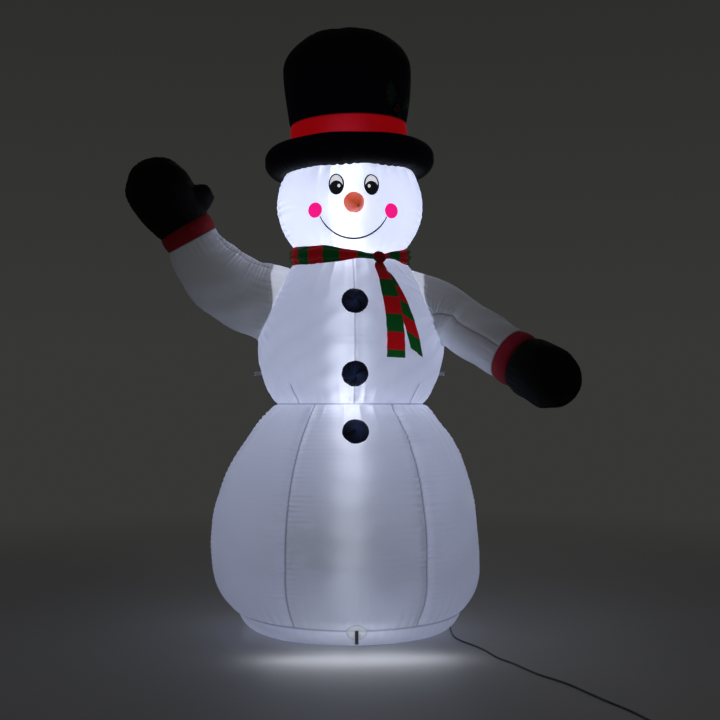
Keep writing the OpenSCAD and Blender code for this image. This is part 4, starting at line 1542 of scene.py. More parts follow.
@dataclass
class Hat:
    """The top hat: a puffy brim, a band and a domed crown, which lean a little to -X."""

    lean: float = 1.7
    brim_at: tuple[float, float] = (0.258, 1.820)
    ring: float = 0.282
    tube: float = 0.060
    band_angle: float = 159.0
    band_top: float = 2.018
    crown: tuple[float, float] = (0.256, 2.234)
    top: float = 2.400
    pinch: float = 0.525
    top_seam: float = 0.165
    low: Shell = field(init=False)
    high: Shell = field(init=False)
    band: Shell = field(init=False)
    side: Shell = field(init=False)

    def crown_radius(self, height: Array) -> Array:
        """Radius of the crown's wall, which narrows downwards."""
        return self.crown[0] - self.pinch * (self.crown[1] - height) ** 2

    def __post_init__(self) -> None:
        """Draws the outlines of the brim's two halves, the band and the crown."""
        foot = self.brim_at[1]
        joint = math.degrees(math.acos((self.brim_at[0] - self.ring) / self.tube))
        centre = (self.ring, foot + self.tube * math.sin(math.radians(joint)))
        round_it = (self.tube, self.tube)
        self.low = Shell(arc(centre, round_it, -joint, 0, 50), self.lean, foot)
        self.high = Shell(arc(centre, round_it, 0, self.band_angle, 70), self.lean, foot)
        start = self.high.outline[-1]
        heights = np.linspace(start[1], self.band_top, 20)
        share = (heights - start[1]) / (self.band_top - start[1])
        radii = start[0] + (float(self.crown_radius(np.array(self.band_top))) - start[0]) * share
        self.band = Shell(np.stack([radii, heights], axis=1), self.lean, foot)
        wall = np.linspace(self.band_top, self.crown[1], 40)
        side = np.stack([self.crown_radius(wall), wall], axis=1)
        dome = arc((0, self.crown[1]), (self.crown[0], self.top - self.crown[1]), 0, 90, 80)
        self.side = Shell(joined(side, dome), self.lean, foot)

    def build(self, lamps: Lamps) -> None:
        """Makes the brim, the band and the crown."""
        black, red = ("black_fabric", Finish.BLACK_TAFFETA), ("red_fabric", Finish.RED_TAFFETA)
        # Piece, CAD node, cloth, shell, length left open at its end, and folds.
        for name, node, cloth, shell, left, relief in (
            ("hat_brim_under", "brim_lower", black, self.low, 0.0, self._brim_relief(self.low, False)),
            ("hat_brim_top", "brim_upper", black, self.high, 0.0, self._brim_relief(self.high, True)),
            ("hat_band_cloth", "hat_band", red, self.band, 0.0, self._band_relief(self.band)),
            ("hat_crown_cloth", "hat_crown", black, self.side, 1 * MM, self.crown_relief),
        ):
            panel = Panel(name, node, *cloth, -180, 180, 0.0, shell.length - left)
            panel.build(shell, relief, lamps, "snowman")
        log.info("hat: brim, band and crown")

    def _brim_relief(self, shell: Shell, upper: bool) -> Relief:
        """Folds of one half of the brim, which runs from the outer seam or to it."""

        def relief(spot: Spot) -> Array:
            turn = spot.azimuth / (2 * math.pi)
            outer = spot.along if upper else shell.length - spot.along
            inner = shell.length - outer
            edge = (1 - bell(outer, 0.008)) * (1 - bell(inner, 0.008))
            rim = gathers(outer, turn, 62, 0.0018, 0.032, 33)
            root = gathers(inner, turn, 48, 0.0012 if upper else 0.0040, 0.030, 35 + int(upper))
            seam = -0.003 * bell(outer, 0.009)
            return edge * (rim + root + 0.002 * sway(turn, 7, 37)) + seam

        return relief

    def _band_relief(self, shell: Shell) -> Relief:
        """The band swells a little between its two seams."""

        def relief(spot: Spot) -> Array:
            turn = spot.azimuth / (2 * math.pi)
            share = spot.along / shell.length
            swell = 0.006 * np.sin(math.pi * share)
            puckers = gathers(spot.along, turn, 50, 0.0022, 0.020, 43)
            puckers = puckers + gathers(shell.length - spot.along, turn, 50, 0.0022, 0.020, 45)
            return swell + puckers * np.sin(math.pi * share) ** 0.5

        return relief

    def crown_relief(self, spot: Spot) -> Array:
        """Folds of the crown, with the seam of its top panel."""
        turn = spot.azimuth / (2 * math.pi)
        to_seam = np.abs(spot.along - (self.side.length - self.top_seam))
        edge = 1 - bell(spot.along, 0.010)
        flat = np.clip((self.side.length - spot.along) / 0.05, 0, 1)
        band = gathers(spot.along, turn, 36, 0.0040, 0.050, 47)
        seam = gathers(to_seam, turn, 44, 0.0032, 0.034, 49) - 0.003 * bell(to_seam, 0.010)
        back, _ = seam_gap(spot.azimuth, (180.0,))
        line = -0.004 * bell(back * spot.radius, 0.012)
        return edge * flat * (band + seam + line + 0.003 * sway(turn + 0.3 * spot.along, 5, 51))


@dataclass
class Holly:
    """Three holly leaves and three berries, sewn on the hat above the band."""

    azimuth: float = 47.0
    height: float = 2.048
    leaves: tuple[tuple[float, float, float, float], ...] = (
        (0.100, 0.058, 6, -6), (0.104, 0.056, -52, 10), (0.052, 0.036, -150, 5)
    )
    spines: int = 4
    berry: float = 0.008

    def build(self, hat: Hat, lamps: Lamps) -> None:
        """Makes the leaves with their midribs, and the berries."""
        for k, leaf in enumerate(self.leaves):
            piece = self._leaf(f"holly_leaf_{k + 1}", leaf, hat, lamps, (1.6 + 0.7 * k) * MM)
            if k == 0:
                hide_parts("holly_leaves")
        for k in range(3):
            azimuth = self.azimuth + 2.6 * math.cos(math.radians(120 * k + 90))
            height = self.height + 0.009 * math.sin(math.radians(120 * k + 90))
            piece = self._berry(f"holly_berry_{k + 1}", azimuth, height, hat, k)
            if k == 0:
                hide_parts("holly_berries")
        log.info("holly: %d leaves and three berries", len(self.leaves))

    def _leaf(
        self, name: str, leaf: tuple[float, float, float, float], hat: Hat, lamps: Lamps, lift: float
    ) -> Piece:
        """Makes one leaf: spiny edge, raised midrib and side veins, curved with the crown."""
        long, wide, lean, shift = leaf
        rows, columns = 50, 17
        t = np.linspace(0, 1, rows)[:, None]
        across = np.linspace(-1, 1, columns)[None]
        half = wide / 2 * np.sin(math.pi * t) * (0.82 + 0.18 * np.cos(2 * math.pi * self.spines * t))
        x, y = across * half, 0.004 + long * t + 0 * across
        vein = 0.0008 * bell(across, 0.08) + 0.0004 * np.cos(
            2 * math.pi * (self.spines * 2 * t - 1.2 * np.abs(across))
        )
        puff = 0.0016 * (1 - across**2) + vein
        angle = math.radians(lean)
        turned_x = x * math.cos(angle) - y * math.sin(angle)
        turned_y = x * math.sin(angle) + y * math.cos(angle)
        z = self.height + turned_y
        outline = hat.side.outline
        radius = np.interp(z, outline[:, 1], outline[:, 0])
        azimuth = math.radians(self.azimuth + shift) + turned_x / radius
        along = np.interp(z, outline[:, 1], hat.side.steps)
        spot = hat.side.spots(azimuth, along)
        base = np.where(z < hat.band_top, 0.004, hat.crown_relief(spot))
        edge = np.minimum(np.minimum(t, 1 - t) * 12, 1) * np.minimum((1 - np.abs(across)) * 6, 1)
        height = np.maximum(base, 0) + lift * np.maximum(edge, 0.25) + puff * edge
        points = spot.point + spot.normal * height[..., None]
        flat = np.stack([x, y], axis=-1)
        normals = grid_normals(points)
        piece = make_piece(
            name, points, grid_faces(rows, columns, False), Finish.LEAF_TAFFETA, flat,
            {"glow": lamps.light_at(points, normals), "seam_mm": np.full(z.shape, 60.0)}
        )
        rework(piece, turn_outwards)
        hang(piece, "snowman")
        return piece

    def _berry(self, name: str, azimuth: float, height: float, hat: Hat, number: int) -> Piece:
        """Makes one berry: a small stuffed ball, gathered at its front."""
        spot = hat.side.spots(
            np.array([math.radians(azimuth)]),
            np.array([np.interp(height, hat.side.outline[:, 1], hat.side.steps)])
        )
        centre = spot.point[0] + spot.normal[0] * (self.berry + 3.5 * MM)
        rows, columns = 17, 24
        up = np.linspace(-math.pi / 2, math.pi / 2, rows)[:, None]
        turn = np.linspace(0, 2 * math.pi, columns, endpoint=False)[None]
        radius = self.berry * (1 + 0.05 * np.cos(6 * turn + number) * np.cos(up) - 0.16 * bell(up - 1.5, 0.3))
        out, side = spot.normal[0], unit(np.cross(spot.normal[0], (0, 0, 1)))
        third = np.cross(out, side)
        points = centre + radius[..., None] * (
            (np.cos(up) * np.cos(turn))[..., None] * side + (np.cos(up) * np.sin(turn))[..., None] * third
            + (np.sin(up) + 0 * turn)[..., None] * out
        )
        flat = np.stack([turn * self.berry + 0 * up, up * self.berry + 0 * turn], axis=-1)
        piece = make_piece(
            name, points, grid_faces(rows, columns, True), Finish.BERRY_TAFFETA, flat,
            {"glow": np.full((rows, columns), 8.0), "seam_mm": np.full((rows, columns), 60.0)}
        )
        hang(piece, "snowman")
        return piece


# ---------------------------------------------------------------- buttons


@dataclass
class Buttons:
    """Three stuffed black discs down the front. Each is sewn from two rounds, so its rim puckers.

    Attributes:
        radius: radius of a disc.
        thick: its thickness in the middle.
        glow: lamp light that comes through at the middle.
        places: height and upward tilt in degrees of each.
    """

    radius: float = 0.050
    thick: float = 0.034
    glow: float = 24.0
    places: tuple[tuple[float, float], ...] = ((1.284, 20.0), (1.016, -18.0), (0.795, 27.0))

    def build(self, torso: Torso, belly: LowerBody) -> None:
        """Makes the discs, each with its back laid on the cloth behind it."""
        for k, (height, tilt) in enumerate(self.places):
            shell = torso.shell if height > torso.waist[1] else belly.shell
            piece = self._disc(f"button_{k + 1}", shell, height, math.radians(tilt), k)
            if k == 0:
                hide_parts("buttons")
        log.info("buttons: three")

    def _disc(self, name: str, shell: Shell, height: float, tilt: float, number: int) -> Piece:
        """Makes one disc, front and back."""
        radius_here = float(np.interp(height, shell.outline[:, 1], shell.outline[:, 0]))
        centre = np.array([0.0, -radius_here, height])
        out = np.array([0.0, -math.cos(tilt), math.sin(tilt)])
        side = np.array([1.0, 0.0, 0.0])
        up = np.cross(side, out) * -1
        around, rows = 96, 44
        turn = np.linspace(0, 2 * math.pi, around, endpoint=False)[None]
        share = np.linspace(0.0, 2.0, rows)[:, None]
        front = share < 1
        reach = np.where(front, share, 2 - share)
        flat_reach = np.sin(reach * math.pi / 2) ** 0.9
        dome = (1 - flat_reach**2.4) ** 0.75
        rim = 1 - flat_reach
        creases = gathers(
            rim * self.radius, turn / (2 * math.pi) + 0 * share, 34, 0.0046, 0.016, 61 + 5 * number
        )
        scallop = folds(turn / (2 * math.pi), 30, 65 + number) * flat_reach**3
        radial = flat_reach * self.radius * (
            1 + 0.02 * sway(turn / (2 * math.pi), 8, 63 + number) + 0.022 * scallop
        )
        rise = np.where(
            front, dome * (self.thick * 0.62), -dome * self.thick * 0.34
        ) + creases * np.where(front, 1, -0.4)
        centre = centre + out * 0.008
        points = (
            centre + radial[..., None] * (np.cos(turn)[..., None] * side + np.sin(turn)[..., None] * up)
            + rise[..., None] * out
        )
        wall = shell.radius_at(points[..., 2])
        limit = -np.sqrt(np.maximum(wall**2 - points[..., 0] ** 2, 0)) - 0.002
        points[..., 1] = np.where(~front, np.minimum(points[..., 1], limit), points[..., 1])
        faces = grid_faces(rows, around, True)
        # Painted light: the lamp light is set brightest at the middle of the front and streaked along the
        # creases, not worked out from the lamps.
        crease_light = np.clip(0.5 + 0.8 * folds((turn + 0.9 * flat_reach) / (2 * math.pi), 16, 67 + number), 0, 2)
        light = self.glow * np.where(front, 0.9 * np.clip(1.15 - flat_reach, 0, 1), 0.1) * crease_light
        flat = np.stack([radial * np.cos(turn), radial * np.sin(turn)], axis=-1)
        piece = make_piece(
            name, points, faces, Finish.BUTTON_TAFFETA, flat,
            {"glow": light, "seam_mm": np.clip(rim * self.radius * 1000, 0, 60) + 0 * turn}
        )
        rework(piece, merge_close)
        rework(piece, lambda work: turn_outwards(work, centre))
        hang(piece, "snowman")
        return piece


# ---------------------------------------------------------------- arms


@dataclass(frozen=True)
class Station:
    """One ring of a sleeve: its middle, its radius, and the way it faces if that is fixed."""

    centre: Point
    radius: float
    way: Point | None = None


@dataclass
class Arm:
    """One arm: a sleeve from the armhole, a red cuff and a black mitten.

    Attributes:
        word: the CAD name of the arm, such as "waving".
        body: the CAD body that the hand end rides on.
        armhole: centre and radius of the ball that the armhole's edge lies on.
        stations: rings of the sleeve and the cuff, from the armhole out.
        cuff_from: number of the station where the cuff starts.
        mitten: distance along the hand and radius of each of its rings.
        thumb: middle and radius of each ring of the thumb, if it has one.
        shade: how brightly lamp light reaches the sleeve, at the armhole and at the cuff.
        seed: picks its folds.
        hand_way: the way that the hand points.
        seam_at: place of the sleeve's seam round it, from 0 to 1.
        yoke: width of the strip over the shoulder that is lit like the torso.
        ring_steps: number of rings from one station to the next.
    """

    word: str
    body: str
    armhole: tuple[Point, float]
    stations: tuple[Station, ...]
    cuff_from: int
    mitten: tuple[tuple[float, float], ...]
    thumb: tuple[tuple[Point, float], ...]
    shade: tuple[float, float]
    seed: int
    hand_way: Point
    seam_at: float
    yoke: float
    ring_steps: int = 14

    def _frames(self) -> tuple[Array, Array, Array]:
        """Middle, radius and way of closely spaced rings, with the cuff's start on a ring."""
        rings = np.array([[*s.centre, s.radius] for s in self.stations])
        close = smooth_route(rings, self.ring_steps)
        centre, radius = close[:, :3], close[:, 3]
        way = np.gradient(centre, axis=0)
        way = way / np.linalg.norm(way, axis=1, keepdims=True)
        first = self.stations[0].way
        if first is not None:
            share = np.clip(np.arange(len(way)) / self.ring_steps, 0, 1)[:, None]
            gentle = eased(share)
            way = unit(first) * (1 - gentle) + way * gentle
            way = way / np.linalg.norm(way, axis=1, keepdims=True)
        return centre, radius, way

    def build(self, torso: Torso) -> None:
        """Makes the sleeve, the cuff and the mitten."""
        centre, radius, way = self._frames()
        turns = 216
        cut = self.cuff_from * self.ring_steps
        turn = np.linspace(0, 1, turns, endpoint=False)
        rings = np.array([ring_of(c, w, r, turns) for c, w, r in zip(centre, way, radius, strict=True)])
        along = np.concatenate([[0], np.cumsum(np.linalg.norm(np.diff(centre, axis=0), axis=1))])
        sleeve, sleeve_along = self._finer(rings[: cut + 1], along[: cut + 1], 4.5 * MM)
        sleeve = self._onto_armhole(sleeve, torso)
        self._sleeve(sleeve, sleeve_along, turn)
        self._cuff(rings[cut:], along[cut:] - along[cut], turn)
        self._mitten(centre[-1], way[-1])
        log.info("%s arm: sleeve, cuff and mitten", self.word)

    @staticmethod
    def _finer(rings: Array, along: Array, pitch: float) -> tuple[Array, Array]:
        """Puts rings at an even pitch between the given ones."""
        count = max(4, round(float(along[-1] - along[0]) / pitch)) + 1
        want = np.linspace(along[0], along[-1], count)
        flat = rings.reshape(len(rings), -1)
        fine = np.stack([np.interp(want, along, flat[:, k]) for k in range(flat.shape[1])], axis=1)
        return fine.reshape(count, -1, 3), want

    def _onto_armhole(self, rings: Array, torso: Torso) -> Array:
        """Bends the first rings so that the sleeve starts on the edge of the torso's armhole."""
        centre, radius = np.array(self.armhole[0]), self.armhole[1]
        edge = rings[0].copy()
        for _ in range(30):
            away = edge - centre
            edge = centre + away / np.linalg.norm(away, axis=1, keepdims=True) * (radius - 0.5 * MM)
            flat_r = np.hypot(edge[:, 0], edge[:, 1])
            height = np.clip(edge[:, 2], torso.shell.outline[0, 1], torso.shell.outline[-1, 1])
            edge[:, :2] *= (torso.shell.radius_at(height) / flat_r)[:, None]
        out = rings.copy()
        for i in range(min(self.ring_steps, len(rings))):
            share = i / self.ring_steps
            gentle = eased(share)
            out[i] = edge * (1 - gentle) + rings[i] * gentle
        return out

    def _sleeve(self, rings: Array, along: Array, turn: Array) -> None:
        """Makes the white sleeve, with one seam along its underside."""
        wide = np.broadcast_to(turn[None], rings.shape[:2])
        far = np.broadcast_to(along[:, None], rings.shape[:2])
        to_cuff = along[-1] - far
        aside = np.abs((wide - self.seam_at + 0.5) % 1 - 0.5) * 2 * math.pi * 0.12
        start = 1 - bell(far, 0.010)
        end = 1 - bell(to_cuff, 0.010)
        height = gathers(
            to_cuff, wide, 22, 0.0034, 0.030, self.seed + 1
        ) * (0.4 + np.abs(sway(wide, 3, self.seed + 2)))
        height = height + gathers(far, wide, 28, 0.0045, 0.050, self.seed + 3)
        length = along[-1]
        height = height + gathers(aside, far / length, 17, 0.0040, 0.042, self.seed + 5) * (
            0.3 + 0.9 * np.abs(sway(far / length, 3, self.seed + 6))
        )
        height = height - 0.0055 * bell(aside, 0.012)
        height = height + 0.004 * sway(wide + 0.6 * far / length, 4, self.seed + 7)
        bare = grid_normals(rings, True)
        points = rings + bare * (height * start * end)[..., None]
        normals = grid_normals(points, True)
        share = (far / length) ** 0.7
        spill = self.shade[0] * (1 - share) + self.shade[1] * share
        inward = np.clip(-normals[..., 0] * np.sign(points[..., 0]), 0, 1)
        light = spill * (0.75 + 0.5 * inward + 0.5 * np.clip(-normals[..., 2], 0, 1))
        yoke = self.yoke * np.clip(-bare[..., 1] * 0.4 + bare[..., 2], 0, 1)
        beyond = np.clip((far - yoke) / 0.004, 0, 1)
        light = np.where(yoke > 0.003, light * beyond + TORSO_GLOW * (1 - beyond), light)
        edge_line = np.where(yoke > 0.003, np.abs(far - yoke), far)
        aside = np.where((far < yoke) & (yoke > 0.003), 0.06, aside)
        seam = np.minimum(np.minimum(edge_line, to_cuff), aside) * 1000
        flat = np.stack([wide * 0.8, far], axis=-1)
        piece = make_piece(
            f"{self.word}_sleeve_cloth", points, grid_faces(len(rings), len(turn), True),
            Finish.SLEEVE_TAFFETA, flat, {"glow": light, "seam_mm": np.clip(seam, 0, 60)}
        )
        turn_away_tube(piece, rings)
        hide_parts(f"{self.word}_sleeve")
        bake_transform(piece)

    def _cuff(self, rings: Array, along: Array, turn: Array) -> None:
        """Makes the red cuff, a band that swells between its two seams."""
        fine, far = self._finer(rings, along, 3.5 * MM)
        share = (far / far[-1])[:, None]
        wide = np.broadcast_to(turn[None], fine.shape[:2])
        height = 0.006 * np.sin(math.pi * share) + np.sin(math.pi * share) ** 0.5 * (
            gathers(far[:, None] + 0 * wide, wide, 26, 0.0012, 0.022, self.seed + 11)
            + gathers(far[-1] - far[:, None] + 0 * wide, wide, 26, 0.0012, 0.022, self.seed + 13)
        )
        normals = grid_normals(fine, True)
        points = fine + normals * height[..., None]
        inward = np.clip(-grid_normals(points, True)[..., 0] * np.sign(points[..., 0]), 0, 1)
        seam = np.minimum(far, far[-1] - far)[:, None] * 1000 + 0 * wide
        flat = np.stack([wide * 0.7, far[:, None] + 0 * wide], axis=-1)
        piece = make_piece(
            f"{self.word}_cuff_cloth", points, grid_faces(len(fine), len(turn), True), Finish.RED_TAFFETA,
            flat, {"glow": 0.3 + 3.0 * inward**2, "seam_mm": seam}
        )
        turn_away_tube(piece, fine)
        hang(piece, self.body, f"{self.word}_cuff")

    def _mitten(self, start: Array, way: Array) -> None:
        """Makes the mitten: two halves sewn round the edge, with a thumb if it has one."""
        hand = unit(np.array(self.hand_way))
        stations = np.array([[*(start + s * hand), r] for s, r in self.mitten])
        rows = smooth_route(stations, 10)
        turns = 72
        rings = []
        for i, row in enumerate(rows):
            share = min(i / 10, 1.0)
            ring_way = unit(way * (1 - share) + hand * share)
            rings.append(ring_of(row[:3], ring_way, max(row[3], 0.004), turns))
        grid = np.array(rings)
        points, faces = grid.reshape(-1, 3), self._capped(grid)
        if self.thumb:
            line = smooth_route(np.array([[*c, r] for c, r in self.thumb]), 8)
            ways = np.gradient(line[:, :3], axis=0)
            tube = np.array(
                [ring_of(p[:3], unit(w), max(p[3], 0.004), 48) for p, w in zip(line, ways, strict=True)]
            )
            faces = faces + [tuple(k + len(points) for k in f) for f in self._capped(tube)]
            points = np.concatenate([points, tube.reshape(-1, 3)])
        palm = make_piece(f"{self.word}_hand_draft", points, faces, Finish.BLACK_TAFFETA)
        rework(palm, lambda work: bmesh.ops.recalc_face_normals(work, faces=work.faces))
        remesh = palm.modifiers.new("cloth", "REMESH")
        remesh.mode, remesh.voxel_size, remesh.adaptivity = "VOXEL", 0.0045, 0.0
        soften = palm.modifiers.new("soft", "SMOOTH")
        soften.factor, soften.iterations = 0.6, 9
        ready = bpy.data.meshes.new_from_object(palm.evaluated_get(bpy.context.evaluated_depsgraph_get()))
        bpy.data.objects.remove(palm, do_unlink=True)
        piece = self._creased(ready, start, hand, way)
        hang(piece, self.body, f"{self.word}_mitten")

    @staticmethod
    def _capped(grid: Array) -> list[tuple[int, ...]]:
        """Faces of a closed tube with both of its ends."""
        rows, columns = grid.shape[:2]
        faces: list[tuple[int, ...]] = list(grid_faces(rows, columns, True))
        faces.append(tuple(reversed(range(columns))))
        faces.append(tuple(range((rows - 1) * columns, rows * columns)))
        return faces

    def _creased(self, mesh: bpy.types.Mesh, start: Array, hand: Array, way: Array) -> Piece:
        """Gives the smooth hand its edge seam, its folds and an open wrist edge."""
        points = np.zeros(len(mesh.vertices) * 3)
        normals = np.zeros_like(points)
        mesh.vertices.foreach_get("co", points)
        mesh.vertices.foreach_get("normal", normals)
        points, normals = points.reshape(-1, 3), normals.reshape(-1, 3)
        away = points - start
        forward = away @ hand
        flat_way = unit(np.cross(hand, (0.0, 1.0, 0.0)))
        front = np.cross(hand, flat_way)
        turn = np.arctan2(away @ front, away @ flat_way) / (2 * math.pi)
        edge_gap = np.clip(np.abs(normals @ front), 0, 1) * 0.11
        wrist = np.clip(away @ way, 0, None)
        rest = 1 - bell(wrist, 0.010)
        height = gathers(wrist, turn, 22, 0.0026, 0.040, self.seed + 21)
        lengthwise = forward / 0.3
        height = height + gathers(edge_gap, lengthwise, 17, 0.0020, 0.030, self.seed + 23)
        height = height - 0.005 * bell(edge_gap, 0.010)
        height = height + 0.003 * sway(turn + 0.5 * lengthwise, 5, self.seed + 25)
        height = np.where(forward > 0, height * rest, 0)
        points = points + normals * height[:, None]
        glow = np.full(len(points), 0.4)
        mesh.vertices.foreach_set("co", points.ravel())
        for key, values in (("glow", glow), ("seam_mm", np.clip(edge_gap * 1000, 0, 60))):
            layer = mesh.attributes.new(key, "FLOAT", "POINT")
            layer.data.foreach_set("value", values.astype(np.float32))
        corner = np.zeros(len(mesh.loops), np.int32)
        mesh.loops.foreach_get("vertex_index", corner)
        flat = np.stack([away @ flat_way, forward], axis=1)
        mapped = mesh.uv_layers.new(name="cloth")
        mapped.data.foreach_set("uv", flat[corner].astype(np.float32).ravel())
        mesh.materials.clear()
        mesh.materials.append(material_of(Finish.BLACK_TAFFETA))
        mesh.shade_smooth()
        mesh.name = f"{self.word}_mitten_cloth"
        return shown(mesh.name, mesh)


def turn_away_tube(piece: Piece, rings: Array) -> None:
    """Makes the faces of an open tube face away from its middle line."""
    mesh = piece.data
    middle = rings.mean(axis=1)
    wide = rings.shape[1]
    score = 0.0
    for face in list(mesh.polygons)[:: max(1, len(mesh.polygons) // 300)]:
        row = min(face.vertices[0] // wide, len(middle) - 1)
        score += face.normal.dot(face.center - Vector(middle[row]))
    if score < 0:
        mesh.flip_normals()


WAVING_ARM = Arm(
    word="waving", body="waving_arm", armhole=((-0.308, -0.004, 1.299), 0.156),
    stations=(
        Station((-0.308, -0.004, 1.299), 0.154, (-0.915, 0.0, 0.403)),
        Station((-0.355, -0.001, 1.314), 0.150), Station((-0.408, -0.003, 1.333), 0.146),
        Station((-0.471, -0.008, 1.366), 0.142), Station((-0.530, -0.014, 1.410), 0.138),
        Station((-0.573, -0.021, 1.455), 0.128), Station((-0.602, -0.031, 1.500), 0.115),
        Station((-0.629, -0.040, 1.549), 0.104), Station((-0.660, -0.050, 1.605), 0.104)
    ),
    cuff_from=7,
    mitten=(
        (-0.020, 0.099), (0.004, 0.1065), (0.045, 0.117), (0.100, 0.127), (0.168, 0.130), (0.226, 0.116),
        (0.264, 0.086), (0.287, 0.049), (0.298, 0.012)
    ),
    thumb=(
        ((-0.690, -0.062, 1.680), 0.071), ((-0.638, -0.062, 1.698), 0.067), ((-0.598, -0.062, 1.716), 0.059),
        ((-0.572, -0.062, 1.733), 0.045), ((-0.556, -0.062, 1.743), 0.031)
    ),
    shade=(14.0, 2.0), seed=200, hand_way=(-0.579, -0.118, 0.806), seam_at=0.42, yoke=0.055
)

LOWERED_ARM = Arm(
    word="lowered", body="lowered_arm", armhole=((0.306, -0.030, 1.290), 0.156),
    stations=(
        Station((0.306, -0.030, 1.290), 0.154, (0.915, -0.090, 0.394)),
        Station((0.414, -0.100, 1.230), 0.113, (0.85, -0.42, -0.30)), Station((0.458, -0.138, 1.194), 0.108),
        Station((0.533, -0.198, 1.142), 0.107), Station((0.600, -0.257, 1.090), 0.102),
        Station((0.646, -0.298, 1.057), 0.102)
    ),
    cuff_from=4,
    mitten=(
        (-0.020, 0.098), (0.004, 0.105), (0.035, 0.113), (0.100, 0.119), (0.160, 0.112), (0.205, 0.088),
        (0.236, 0.052), (0.252, 0.014)
    ),
    thumb=(), shade=(10.0, 2.2), seed=300, hand_way=(0.675, -0.581, -0.455), seam_at=0.27, yoke=0.045
)


# ---------------------------------------------------------------- scarf


@dataclass
class Scarf:
    """A striped scarf: a wrap round the neck, a small twisted knot and two tails.

    Attributes:
        wrap: radius of the wrap's middle line.
        width: width of the cloth as it lies.
        middle: height of the wrap.
        tilt: angle in degrees by which the wrap drops to the front.
        shift: distance of the wrap's middle to the front.
        knot: azimuth in degrees, distance out and height of the knot.
        fullness: width of the flat cloth beside its width as it lies in folds; not used.
        thick: thickness of the doubled cloth.
        start: place of the wrap's end in the stripes.
    """

    wrap: float = 0.233
    width: float = 0.062
    middle: float = 1.488
    tilt: float = 3.5
    shift: float = -0.011
    knot: tuple[float, float, float] = (23.0, 0.249, 1.464)
    fullness: float = 1.25
    thick: float = 0.0016
    start: float = 0.098

    def build(self, torso: Torso, lamps: Lamps) -> None:
        """Makes the wrap, the knot and the tails."""
        self._wrap(lamps)
        self._knot()
        self._tail(
            "scarf_tail_front", "scarf_front_tail", "front_tail", torso, ((-0.004, 1.444), (0.002, 1.075)),
            (0.034, 0.076), 0.0070, 400, 0.0665
        )
        self._tail(
            "scarf_tail_rear", "scarf_rear_tail", "rear_tail", torso, ((0.002, 1.444), (0.100, 1.096)),
            (0.030, 0.064), 0.0022, 430, 0.114
        )

    def _wrap(self, lamps: Lamps) -> None:
        """Makes the band round the neck: a folded cloth that pinches into the knot."""
        around, across = 420, 25
        knot = math.radians(self.knot[0])
        turn = np.linspace(0, 1, around)[:, None]
        azimuth = knot + math.radians(3.5) + turn * (2 * math.pi - math.radians(7.0))
        near = np.minimum(turn, 1 - turn) * 2 * math.pi * self.wrap
        spread = np.clip(near / 0.23, 0, 1)
        pinch = 0.30 + 0.84 * eased(spread)
        share = np.linspace(-1, 1, across)[None]
        bulge = 0.0075 * (1 - share**2) + 0.0034 * np.cos(share * 8.0 + 3.0 * turn)
        folds_here = 0.0030 * np.sin(
            share * 13 + 5 * np.sin(6 * turn * math.pi)
        ) * (0.5 + 0.9 * np.exp(-near / 0.07))
        creases = 0.0022 * sway(turn + 0.06 * share, 34, 71) + 0.0018 * sway(turn - 0.1 * share, 17, 73)
        radius = self.wrap + bulge + folds_here + creases
        up = share * self.width / 2 * pinch + 0.0022 * sway(turn, 9, 75)
        tilt = math.radians(self.tilt)
        x = radius * np.sin(azimuth)
        y = -radius * np.cos(azimuth)
        z = up + 0 * azimuth
        drop = (self.knot[2] - self.middle + 0.012) * bell(near, 0.05) * 0.5
        points = np.stack(
            [x, y * math.cos(tilt) + self.shift, self.middle + z + y * math.sin(tilt) + drop], axis=-1
        )
        flat = np.stack(
            [share * self.width / 2 + 0 * turn, turn * 2 * math.pi * self.wrap + self.start + 0 * share],
            axis=-1
        )
        piece = make_piece(
            "scarf_wrap_cloth", points, grid_faces(around, across, False), Finish.SCARF_CLOTH, flat,
            {"glow": lamps.light_at(points, unit_rows(points)) * 0.15}
        )
        rework(piece, turn_outwards)
        thicken(piece, self.thick)
        hang(piece, "snowman", "scarf_wrap")
        log.info("scarf wrap: %d points", around * across)

    def _knot(self) -> None:
        """Makes the knot: a small bundle with folds that twist round it."""
        azimuth = math.radians(self.knot[0])
        out = np.array([math.sin(azimuth), -math.cos(azimuth), 0.0])
        side = np.array([math.cos(azimuth), math.sin(azimuth), 0.0])
        up = np.array([0.0, 0.0, 1.0])
        centre = out * (self.knot[1] + 0.008) + up * self.knot[2] + np.array([0, self.shift * 0.3, 0])
        rows, columns = 60, 96
        lat = np.linspace(-math.pi / 2, math.pi / 2, rows)[:, None]
        lon = np.linspace(0, 2 * math.pi, columns, endpoint=False)[None]
        twist = lon * 3 + 2.6 * lat + 0.8 * np.sin(2 * lon)
        ridges = 0.0022 * (np.abs(np.sin(twist)) ** 0.6 - 0.5) * np.cos(lat)
        local = np.stack(
            [
                np.cos(lat) * np.cos(lon) * (0.0255 + ridges) + 0.008 * np.sin(lat),
                np.cos(lat) * np.sin(lon) * (0.0145 + ridges),
                (np.sin(lat) + 0 * lon) * (0.0205 + 0.4 * ridges) - 0.35 * 0.0255 * np.cos(lat) * np.cos(lon)
            ], axis=-1
        )
        points = centre + local[..., :1] * side + local[..., 1:2] * out + local[..., 2:] * up
        flat = np.stack([lon * 0.02 + 0 * lat, 0.068 + lat * 0.03 + 0.03 * np.sin(lon)], axis=-1)
        piece = make_piece(
            "scarf_knot_cloth", points, grid_faces(rows, columns, True), Finish.SCARF_CLOTH, flat,
            {"glow": np.full((rows, columns), 0.5)}
        )
        rework(piece, merge_close)
        rework(piece, lambda work: turn_outwards(work, centre))
        hang(piece, "snowman", "scarf_knot")

